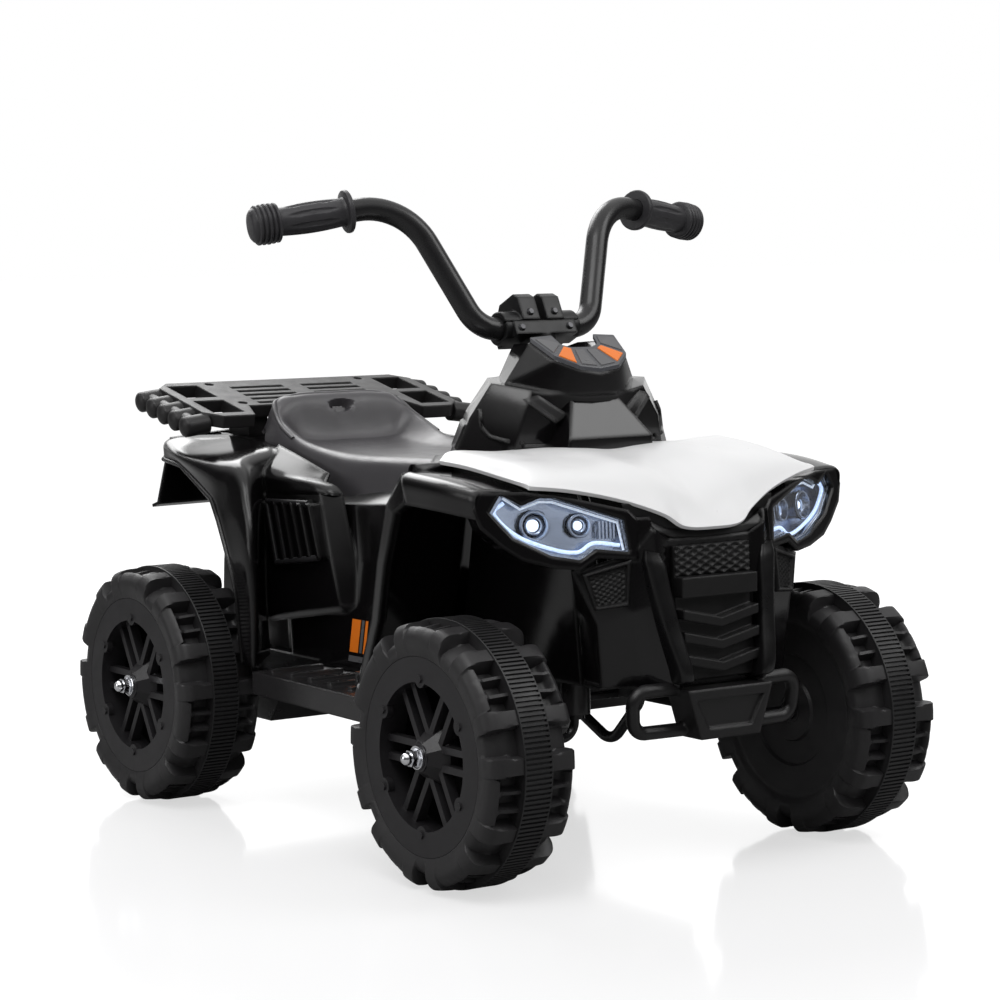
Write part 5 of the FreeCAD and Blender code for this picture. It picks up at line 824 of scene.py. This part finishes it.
def front_points(shares):
    """Places from shares of the reach ahead of the front axle, the half width and the height."""
    return [Vector((AXLE_X + x * REACH, y * BODY_HALF_WIDTH, z * BODY_HEIGHT)) for x, y, z in shares]


def rear_points(shares):
    """Places from shares of the reach ahead of the rear axle, the half width and the height."""
    return [Vector((-AXLE_X + x * REACH, y * BODY_HALF_WIDTH, z * BODY_HEIGHT)) for x, y, z in shares]


def surface_of(node):
    """Search tree of a solid's faces, in millimetres."""
    piece = nodes[node]
    corners = [piece.matrix_world @ vertex.co / MM for vertex in piece.data.vertices]
    return BVHTree.FromPolygons(corners, [tuple(face.vertices) for face in piece.data.polygons])


def draped(tree, corners, outward, step, relief):
    """Patch between four corners, dropped on a solid and raised by a relief."""
    outward = Vector(outward).normalized()
    width, height = patch_size(corners)

    def raised(place, across, up):
        hit = tree.ray_cast(place + outward * REACH, -outward)[0]
        ground = hit if hit and (hit - place).length < DRAPE_LIMIT else place
        return ground + outward * relief(across, up, width, height)

    return patch(corners, max(2, round(width / step)), max(2, round(height / step)), raised)


def inset(corners, share):
    """Four corners drawn in towards their middle."""
    middle = sum(corners, Vector()) / 4
    return [corner + (middle - corner) * share for corner in corners]


def pad(rise, edge):
    """Relief of a flat raised pad with sloped sides that end below the surface."""
    def relief(across, up, width, height):
        border = min(across, up, width - across, height - up)
        return -PATCH_SINK + (rise + PATCH_SINK) * float(step_up(border, 0, edge))
    return relief


def print_film(across, up, width, height):
    """Relief of a thin printed film."""
    return FILM


def plated(name, parts, slot, look=None, wall=PLATE_WALL):
    """Patches as thin closed plates on the frame."""
    piece = new_piece(name, *gather(parts), "frame", slot, look=look)
    thicken(piece, wall)
    shade(piece)


def mirrored_grid(part):
    """Mirror image of a grid, with its faces turned so that they still look outward."""
    points, faces = mirrored(part)
    return points, [tuple(reversed(face)) for face in faces]


def on_both(node, corners, outward, step, relief):
    """Draped patch on the left side of a solid and its mirror image."""
    part = draped(surface_of(node), corners, outward, step, relief)
    return [part, mirrored_grid(part)]


# Expanded mesh in the mouth
MOUTH = ((345.2, -40.5, 260.5), (345.2, 40.5, 260.5), (343.8, 40.5, 286.0), (343.8, -40.5, 286.0))
MOUTH_PITCHES = (13.0, 6.5)
MOUTH_RELIEF = 1.6
MOUTH_STEP = 0.7
MOUTH_WALL = 0.8


def mouth_mesh():
    """Flat patch of crossing wires."""
    corners = [Vector(corner) for corner in MOUTH]
    width, height = patch_size(corners)
    outward = (corners[1] - corners[0]).cross(corners[3] - corners[0]).normalized()

    def raised(place, across, up):
        return place + outward * MOUTH_RELIEF * net(across, up, *MOUTH_PITCHES)

    return patch(corners, int(width / MOUTH_STEP), int(height / MOUTH_STEP), raised)


plated("mouth_mesh", [mouth_mesh()], "grille_black", wall=MOUTH_WALL)

# Forms on the cowl: a sloped shelf in front, a scoop at each side of it and ridges round the base
SHELF_FRONT = ((-0.73, 0.135, 1.008), (-0.50, 0.235, 0.925), (-0.50, 0.235, 0.895))
SHELF_BACK = ((-0.84, 0.135, 1.008), (-0.88, 0.235, 0.925), (-0.88, 0.235, 0.895))
SCOOP = ((-0.95, 0.33, 1.005), (-0.75, 0.21, 0.950), (-0.73, 0.145, 0.975), (-0.86, 0.265, 1.018))
SIDE_PAD = ((-1.62, 0.45, 0.893), (-1.27, 0.56, 0.896), (-1.22, 0.515, 0.955), (-1.56, 0.41, 0.962))
COWL_RIDGES = (
    ((-1.13, 0.4905, 0.9875), (-1.082, 0.4975, 0.9485), (-1.016, 0.478, 0.929), (-0.906, 0.436, 0.9205),
     (-0.821, 0.3685, 0.915)),
    ((-0.821, 0.3685, 0.908), (-0.792, 0.1765, 0.905), (-0.775, 0, 0.905)),
)
RIDGE_RADIUS = 2.2
RIDGE_RISE = 0.6
RIDGE_STEPS = 40
SHELF_ROUNDING = 1.6
SHELF_SEGMENTS = 3
SCOOP_OUTWARD = (0.8, 0.6, 0.2)
SCOOP_STEP = 0.7
SCOOP_SINK = 0.8
SCOOP_RISE = 6.0
SCOOP_EDGE = 1.2
PAD_OUTWARD = (-0.3, 1, 0.3)
PAD_STEP = 1.0
PAD_RISE = 2.2
PAD_EDGE = 2.6


def shelf():
    """Wedge that slopes forward from the foot of the tower to the hood."""
    points = []
    for x, y, z in SHELF_FRONT + tuple(reversed(SHELF_BACK)):
        points += front_points(((x, y, z), (x, -y, z)))
    count = len(points)
    faces = [(index, index + 1, (index + 3) % count, (index + 2) % count) for index in range(0, count, 2)]
    return points, faces + [tuple(range(0, count, 2)), tuple(reversed(range(1, count, 2)))]


def scoop(across, up, width, height):
    """Relief of a ramp that rises along its run and breaks off at its end."""
    border = min(up, height - up, width - across)
    return -SCOOP_SINK + (SCOOP_SINK + SCOOP_RISE * across / width) * float(step_up(border, 0, SCOOP_EDGE))


def bead(node, line):
    """Round ridge half sunk in a solid, along a line laid on it."""
    tree = surface_of(node)
    lengths = [0.0]
    for first, second in zip(line, line[1:]):
        lengths.append(lengths[-1] + (second - first).length)
    points = []
    for step in range(RIDGE_STEPS + 1):
        run = lengths[-1] * step / RIDGE_STEPS
        leg = max(index for index in range(len(line) - 1) if lengths[index] <= run)
        part = (run - lengths[leg]) / (lengths[leg + 1] - lengths[leg])
        place, outward = tree.find_nearest(line[leg].lerp(line[leg + 1], part))[:2]
        points.append(place + outward * RIDGE_RISE)
    return tube(points, RIDGE_RADIUS)


soften(new_piece("cowl_shelf", *shelf(), "frame", "body_black"), SHELF_ROUNDING, SHELF_SEGMENTS)
cowl_parts = on_both("steering_cowl", front_points(SCOOP), SCOOP_OUTWARD, SCOOP_STEP, scoop)
cowl_parts += on_both("steering_cowl", front_points(SIDE_PAD), PAD_OUTWARD, PAD_STEP,
                      pad(PAD_RISE, PAD_EDGE))
plated("cowl_panels", cowl_parts, "body_black")
ridges = [bead("steering_cowl", front_points(line)) for line in COWL_RIDGES]
on_frame("cowl_ridges", ridges, "body_black")

# Round slats and the lip of the hip louvres, in a lighter black that paints on the sheen they reflect
SLAT_LOW = ((0.97, 0.66, 0.590), (1.74, 0.66, 0.617))
SLAT_HIGH = ((0.79, 0.66, 0.736), (1.56, 0.66, 0.744))
SLAT_COUNT = 6
SLAT_RADIUS = 2.4
SLAT_SIDES = 16
SLAT_LIP_RADIUS = 1.3 * SLAT_RADIUS
slat_low, slat_high = rear_points(SLAT_LOW), rear_points(SLAT_HIGH)
slats = []
for slat in range(SLAT_COUNT):
    share = slat / (SLAT_COUNT - 1)
    slats.append(tube((slat_low[0].lerp(slat_low[1], share), slat_high[0].lerp(slat_high[1], share)),
                      SLAT_RADIUS, SLAT_SIDES))
slats.append(tube(slat_low, SLAT_LIP_RADIUS, SLAT_SIDES))
slats.append(tube(slat_high, SLAT_RADIUS, SLAT_SIDES))
on_frame("hip_slats", slats, "body_black", look=SLAT_SHEEN_LOOK)

# Tusk bars with rounded faces, swept through the edges of the solid bars
TUSK_OUTER = ((0.90, 0.36, 0.712), (1.02, 0.315, 0.570), (1.15, 0.265, 0.452), (1.06, 0.250, 0.424))
TUSK_INNER = ((0.93, 0.265, 0.702), (1.05, 0.225, 0.565), (1.16, 0.185, 0.447), (1.07, 0.180, 0.422))
TUSK_DEPTHS = (9.0, 26.0, 26.0, 24.0)
TUSK_STEPS = 48
TUSK_SIDES = 28
TUSK_END_SHARE = 0.7
TUSK_END_STEPS = 3
TUSK_POWER = 0.55


def squared(value):
    """Number from -1 to 1 pushed outward, which squares off a round section."""
    return math.copysign(abs(value) ** TUSK_POWER, value)


def tusk_bar():
    """Left bar: a rounded section that follows the two front edges."""
    outer = curve_through(front_points(TUSK_OUTER), TUSK_STEPS)
    inner = curve_through(front_points(TUSK_INNER), TUSK_STEPS)
    depths = np.interp(np.linspace(0, 1, TUSK_STEPS), np.linspace(0, 1, len(TUSK_DEPTHS)), TUSK_DEPTHS)
    points = []
    for step in range(TUSK_STEPS):
        half_depth = Vector((depths[step] / 2, 0, 0))
        middle = Vector((outer[step] + inner[step]) / 2) - half_depth
        half_width = Vector((outer[step] - inner[step]) / 2)
        from_end = min(step, TUSK_STEPS - 1 - step)
        size = TUSK_END_SHARE + (1 - TUSK_END_SHARE) * float(step_up(from_end, 0, TUSK_END_STEPS))
        for side in range(TUSK_SIDES):
            turn = 2 * math.pi * side / TUSK_SIDES
            reach = half_width * squared(math.cos(turn)) + half_depth * squared(math.sin(turn))
            points.append(middle + reach * size)
    return points, bar_faces(TUSK_STEPS, TUSK_SIDES)


on_frame("tusk_rounds", [tusk_bar()], slot_of["tusk_bars"], ["tusk_bars"], TUSK_LOOK)

# Strips that close the seams between the hood and the lights, the nose and the fenders
SEAM_HIGH = ((0.72, 0.41, 0.809), (0.735, 0.365, 0.8075), (0.775, 0.285, 0.8025), (0.81, 0.22, 0.785),
             (0.84, 0.10, 0.7675), (0.85, 0, 0.760))
SEAM_LOW = ((0.73, 0.40, 0.782), (0.745, 0.365, 0.765), (0.775, 0.285, 0.745), (0.81, 0.22, 0.728),
            (0.84, 0.10, 0.722), (0.85, 0, 0.720))
SEAL_HIGH = ((-0.84, 0.74, 0.900), (-0.43, 0.71, 0.895), (-0.06, 0.69, 0.885), (0.24, 0.67, 0.870))
SEAL_LOW = ((-0.84, 0.74, 0.855), (-0.43, 0.71, 0.848), (-0.06, 0.69, 0.840), (0.24, 0.67, 0.822))


def strip(high, low):
    """Upright strip between two lines and its mirror image."""
    part = front_points(high + low), grid_faces(2, len(high))
    return [part, mirrored_grid(part)]


plated("nose_strip", strip(SEAM_HIGH, SEAM_LOW), "grille_black")
plated("hood_seals", strip(SEAL_HIGH, SEAL_LOW), "grille_black")

# Print on the side panels: a slanted block, two slanted bars beside it and a flat bar below
PRINT_Y = 0.56
PRINT_STEP = 2.0
PRINT_OUTWARD = (0, 1, 0)
SIDE_PRINTS = (
    (ORANGE_LOOK, ((1.93, 0.395), (2.07, 0.395), (2.15, 0.475), (2.01, 0.475))),
    (GREY_LOOK, ((2.09, 0.395), (2.13, 0.395), (2.21, 0.475), (2.17, 0.475))),
    (ORANGE_LOOK, ((2.15, 0.395), (2.19, 0.395), (2.27, 0.475), (2.23, 0.475))),
    (GREY_LOOK, ((1.90, 0.372), (2.18, 0.372), (2.20, 0.386), (1.92, 0.386))),
)
for number, (look, outline) in enumerate(SIDE_PRINTS):
    corners = rear_points([(x, PRINT_Y, z) for x, z in outline])
    parts = on_both("rear_body", corners, PRINT_OUTWARD, PRINT_STEP, print_film)
    plated("side_print_%d" % (number + 1), parts, "dash_trim", look, FILM_WALL)

# Facets on the horseshoe dash
DASH_RIM = ((-1.08, 0.235, 1.134), (-0.80, 0.20, 1.095), (-0.67, 0.11, 1.073), (-0.65, 0, 1.066))
DASH_INNER = ((-1.08, 0.115, 1.138), (-0.97, 0.10, 1.118), (-0.93, 0.06, 1.112), (-0.93, 0, 1.112))
DASH_LOOKS = (GREY_LOOK, ORANGE_LOOK, GREY_LOOK)
FACET_INSET = 0.2
FACET_OUTWARD = (0.3, 0, 1)
FACET_STEP = 0.8
FACET_RISE = 0.8
FACET_EDGE = 0.8
dash_rim, dash_inner = front_points(DASH_RIM), front_points(DASH_INNER)
for number, look in enumerate(DASH_LOOKS):
    corners = inset([dash_rim[number], dash_rim[number + 1], dash_inner[number + 1], dash_inner[number]],
                    FACET_INSET)
    parts = on_both("dash_panel", corners, FACET_OUTWARD, FACET_STEP, pad(FACET_RISE, FACET_EDGE))
    plated("dash_facet_%d" % (number + 1), parts, "dash_trim", look, FILM_WALL)


# Net windows beside the grille, each in a raised frame
WINDOW = ((0.76, 0.375, 0.694), (0.60, 0.585, 0.664), (0.655, 0.535, 0.585), (0.785, 0.40, 0.592))
WINDOW_OUTWARD = (1, 0.55, 0)
WINDOW_STEP = 0.8
WINDOW_FOOT = 1.0
WINDOW_RIM = 5.0
WINDOW_RIM_RISE = 4.0
WINDOW_RIM_EDGES = (1.2, 1.5)
WIRE_PITCHES = (7.0, 4.375)
WIRE_RISE = 1.4
WIRE_EDGE = 0.5


def window_relief(across, up, width, height):
    """Raised rim round a field of crossing wires."""
    border = min(across, up, width - across, height - up)
    outer_edge, inner_edge = WINDOW_RIM_EDGES
    rim = step_up(border, 0, outer_edge) * (1 - step_up(border, WINDOW_RIM - inner_edge, WINDOW_RIM))
    wires = net(across, up, *WIRE_PITCHES) * step_up(border, WINDOW_RIM - WIRE_EDGE, WINDOW_RIM)
    foot = PATCH_SINK * (step_up(border, 0, WINDOW_FOOT) - 1)
    return float(foot + WINDOW_RIM_RISE * rim + WIRE_RISE * wires)


windows = on_both("front_body", front_points(WINDOW), WINDOW_OUTWARD, WINDOW_STEP, window_relief)
plated("side_windows", windows, "grille_black")


# Smooth skins over the flat facets of the hips and fenders
HIP_SHARES = (
    ((0.50, 0.50, 0.866), (1.02, 0.51, 0.838), (1.42, 0.495, 0.808)),
    ((0.68, 0.65, 0.808), (1.08, 0.61, 0.802), (1.50, 0.54, 0.790)),
    ((0.70, 0.655, 0.755), (1.58, 0.60, 0.768), (1.74, 0.52, 0.765)),
    ((0.70, 0.66, 0.612), (1.82, 0.62, 0.620), (1.98, 0.53, 0.615)),
)
REAR_FENDER_SHARES = (
    ((-0.80, 0.79, 0.820), (-0.82, 0.75, 0.868), (-0.84, 0.44, 0.875)),
    ((-0.30, 0.83, 0.811), (-0.32, 0.81, 0.845), (-0.32, 0.44, 0.872)),
    ((0.52, 0.89, 0.743), (0.54, 0.86, 0.830), (0.54, 0.52, 0.858)),
    ((0.68, 0.90, 0.695), (0.94, 0.855, 0.812), (0.70, 0.64, 0.805)),
    ((0.84, 0.91, 0.637), (1.18, 0.88, 0.740), (0.71, 0.645, 0.750)),
    ((0.99, 0.915, 0.570), (1.33, 0.90, 0.655), (0.72, 0.65, 0.650)),
    ((1.07, 0.915, 0.512), (1.38, 0.90, 0.517), (0.72, 0.65, 0.512)),
    ((1.14, 0.91, 0.358), (1.36, 0.90, 0.358), (0.72, 0.63, 0.358)),
)
FRONT_FENDER_SHARES = (
    ((-0.72, 1.03, 0.800), (-0.82, 1.00, 0.865), (-0.89, 0.72, 0.862)),
    ((-0.24, 1.03, 0.795), (-0.24, 1.005, 0.857), (-0.24, 0.70, 0.852)),
    ((0.27, 1.005, 0.785), (0.27, 0.98, 0.842), (0.26, 0.69, 0.828)),
)
HIP_GRID = (90, 60)
HIP_ROWS = 62
REAR_FENDER_GRID = (160, 50)
FRONT_FENDER_GRID = (70, 50)
SKIN_LIFT = 0.7
SKIN_SINK = 0.6
SKIN_BORDER = 3
SKIN_WALL = 1.0


def skin(points_of, table, size, row_end=None):
    """Smooth sheet through the corners of a faceted panel, just above it and sunk in at its border."""
    grid = smooth_sheet([points_of(row) for row in table], *size)[:row_end]
    outward = np.cross(np.gradient(grid, axis=0), np.gradient(grid, axis=1))
    outward /= np.linalg.norm(outward, axis=2, keepdims=True)
    if outward[:, :, 1:].sum() < 0:
        outward = -outward
    height, width = grid.shape[:2]
    rows, columns = np.indices((height, width))
    border = np.minimum.reduce([rows, height - 1 - rows, columns, width - 1 - columns])
    lift = -SKIN_SINK + (SKIN_LIFT + SKIN_SINK) * step_up(border, 0, SKIN_BORDER)
    return (grid + outward * lift[:, :, None]).reshape(-1, 3), grid_faces(height, width)


skins = [skin(rear_points, HIP_SHARES, HIP_GRID, HIP_ROWS),
         skin(rear_points, REAR_FENDER_SHARES, REAR_FENDER_GRID),
         skin(front_points, FRONT_FENDER_SHARES, FRONT_FENDER_GRID)]
plated("body_skins", skins + [mirrored_grid(part) for part in skins], "body_black", wall=SKIN_WALL)

# Domed ends of the rack's edge knobs, and a rail that fills the gaps between them
RACK_SLOPE = math.radians(13.0)
RACK_REAR = Vector((-AXLE_X - 113.0, 0, BODY_HEIGHT + 1.0))
RACK_KNOB_COUNT = 5
RACK_KNOB_RADIUS = 10.3
RACK_KNOB_PITCH = 23.0
RACK_KNOB_FIRST = 14.3
RACK_KNOB_ROOT = (145.5, -11.3)
RACK_KNOB_TIP = (169.0, -14.3)
RACK_KNOB_SINK = 1.0
RACK_KNOB_DOME = 5.0
RACK_KNOB_SIDES = 40
RAIL_RADIUS = 8.6
RAIL_SHARE = 0.62
RAIL_SIDES = 24


def rack_point(ahead, across, rise):
    """Point of the sloped rack: distance ahead of its rear edge, across, and above its top."""
    return RACK_REAR + Vector((ahead * math.cos(RACK_SLOPE) + rise * math.sin(RACK_SLOPE), across,
                               rise * math.cos(RACK_SLOPE) - ahead * math.sin(RACK_SLOPE)))


def rack_buffer():
    """Left row of domes with its rail."""
    dome = [(-RACK_KNOB_SINK, RACK_KNOB_RADIUS)]
    dome += [(RACK_KNOB_DOME * math.sin(turn), RACK_KNOB_RADIUS * math.cos(turn))
             for turn in np.linspace(0, math.pi / 2, CURVE_STEPS)]
    parts = []
    middles = []
    for knob in range(RACK_KNOB_COUNT):
        ahead = RACK_KNOB_FIRST + knob * RACK_KNOB_PITCH
        root = rack_point(ahead, *RACK_KNOB_ROOT)
        tip = rack_point(ahead, *RACK_KNOB_TIP)
        parts.append(lathe(dome, tip, tip - root, RACK_KNOB_SIDES))
        middles.append(root.lerp(tip, RAIL_SHARE))
    return parts + [tube((middles[0], middles[-1]), RAIL_RADIUS, RAIL_SIDES)]


on_frame("rack_buffers", rack_buffer(), "rack_plastic")

# Rolled lower edge of the rear arches
REAR_ARCH = ((-0.80, 0.785, 0.818), (-0.30, 0.825, 0.809), (0.51, 0.885, 0.741), (0.67, 0.895, 0.693),
             (0.83, 0.905, 0.635), (0.98, 0.91, 0.569), (1.06, 0.91, 0.511), (1.13, 0.905, 0.362))
EDGE_RADIUS = 2.6
EDGE_SIDES = 12
on_frame("fender_edges", [tube(rear_points(REAR_ARCH), EDGE_RADIUS, EDGE_SIDES)], "body_black")


# Floor, lights and camera

FLOOR_HALF = 30.0
FLOOR_BASE = (0.3, 0.3, 0.3, 1)
FLOOR_ROUGHNESS = 0.5
FLOOR_DIFFUSE = (0.42, 0.42, 0.425, 1)
FLOOR_GLOW = 0.86
FLOOR_GLOSS = 0.1
FADE_EDGES = (0.6, 1.6)
FADE_START = 0.26
BACKDROP = (-0.82, 0.57, 0)
BACKDROP_EDGES = (0.62, 0.86)
SKY_EDGES = (0.25, 0.9)
SKY_RANGE = (0.04, 1.1)
WORLD_LIGHT = 0.42
# Place, aim, size and power of each soft box
LIGHTS = {
    "key_light": ((0.9, -1.2, 2.3), (0, 0, 0.25), (1.6, 1.2), 25),
    "fill_light": ((1.5, 1.45, 2.0), (0.1, 0, 0.35), (1.3, 1.5), 18),
    "rear_light": ((-1.9, 0.3, 1.9), (0, 0, 0.3), (1.4, 1.4), 28),
    "side_light": ((-0.8, -2.6, 0.9), (-0.1, 0, 0.3), (1.6, 1.2), 10),
}


def floor_look():
    """White floor: near white to the camera, with the shadow and a soft reflection near the bike."""
    made = Shader("floor")
    material = made.finish(Base_Color=FLOOR_BASE, Roughness=FLOOR_ROUGHNESS)
    diffuse = made.shader("ShaderNodeBsdfDiffuse", Color=FLOOR_DIFFUSE)
    glow = made.shader("ShaderNodeEmission", Color=WHITE, Strength=FLOOR_GLOW)
    gloss = made.shader("ShaderNodeBsdfGlossy", Color=WHITE, Roughness=FLOOR_GLOSS)
    place = made.node("ShaderNodeNewGeometry").outputs["Position"]
    fade = made.eased(made.result("ShaderNodeVectorMath", "LENGTH", place), *FADE_EDGES, FADE_START, 0.0)
    bright = made.shader("ShaderNodeAddShader", diffuse, glow)
    shown = made.shader("ShaderNodeMixShader", fade, bright, gloss)
    seen = made.node("ShaderNodeLightPath").outputs["Is Camera Ray"]
    choice = made.shader("ShaderNodeMixShader", seen, made.main.outputs[0], shown)
    made.fill(made.tree.nodes["Material Output"].inputs["Surface"], choice)
    return material


floor_mesh = bpy.data.meshes.new("floor")
floor_corners = [(x * FLOOR_HALF, y * FLOOR_HALF, 0) for x, y in ((-1, -1), (1, -1), (1, 1), (-1, 1))]
floor_mesh.from_pydata(floor_corners, [], [(0, 1, 2, 3)])
floor = bpy.data.objects.new("floor", floor_mesh)
bpy.context.scene.collection.objects.link(floor)
floor_mesh.materials.append(floor_look())

for name, (place, aim, size, power) in LIGHTS.items():
    light = bpy.data.lights.new(name, "AREA")
    light.shape = "RECTANGLE"
    light.size, light.size_y = size
    light.energy = power
    lamp = bpy.data.objects.new(name, light)
    lamp.location = place
    lamp.rotation_euler = (Vector(aim) - Vector(place)).to_track_quat("-Z", "Y").to_euler()
    bpy.context.scene.collection.objects.link(lamp)


def set_world():
    """White for the camera; on the object a gentler light, with a white top and backdrop reflected."""
    world = bpy.data.worlds.new("studio")
    bpy.context.scene.world = world
    world.use_nodes = True
    world.node_tree.nodes.clear()
    made = Nodes(world.node_tree)
    path = made.node("ShaderNodeLightPath").outputs
    direction = made.node("ShaderNodeTexCoord").outputs["Generated"]
    height = made.node("ShaderNodeSeparateXYZ", direction).outputs["Z"]
    sky = made.eased(height, *SKY_EDGES, *SKY_RANGE)
    heading = made.result("ShaderNodeVectorMath", "DOT_PRODUCT", direction, BACKDROP)
    wall = made.eased(heading, *BACKDROP_EDGES, 0.0, 1.0)
    brightest = made.result("ShaderNodeMath", "MAXIMUM", sky, wall)
    reflected = made.shader("ShaderNodeBackground", WHITE, brightest)
    light = made.shader("ShaderNodeBackground", WHITE, WORLD_LIGHT)
    view = made.shader("ShaderNodeBackground", WHITE, 1.0)
    lighting = made.shader("ShaderNodeMixShader", path["Is Glossy Ray"], light, reflected)
    seen = made.result("ShaderNodeMath", "MAXIMUM", path["Is Camera Ray"], path["Is Transmission Ray"])
    made.node("ShaderNodeOutputWorld", made.shader("ShaderNodeMixShader", seen, lighting, view))


set_world()


def set_camera():
    """Camera at the photograph's place, with its small roll."""
    data = bpy.data.cameras.new("camera")
    data.lens = LENS
    data.sensor_width = SENSOR_WIDTH
    data.shift_x, data.shift_y = SHIFT
    camera = bpy.data.objects.new("camera", data)
    back = (EYE - TARGET).normalized()
    right = Vector((0, 0, 1)).cross(back).normalized()
    up = back.cross(right)
    turned_right = right * math.cos(ROLL) + up * math.sin(ROLL)
    turned_up = up * math.cos(ROLL) - right * math.sin(ROLL)
    place = Matrix((turned_right, turned_up, back)).transposed().to_4x4()
    place.translation = EYE
    camera.matrix_world = place
    bpy.context.scene.collection.objects.link(camera)
    bpy.context.scene.camera = camera


set_camera()
bpy.context.scene.view_settings.view_transform = "Standard"
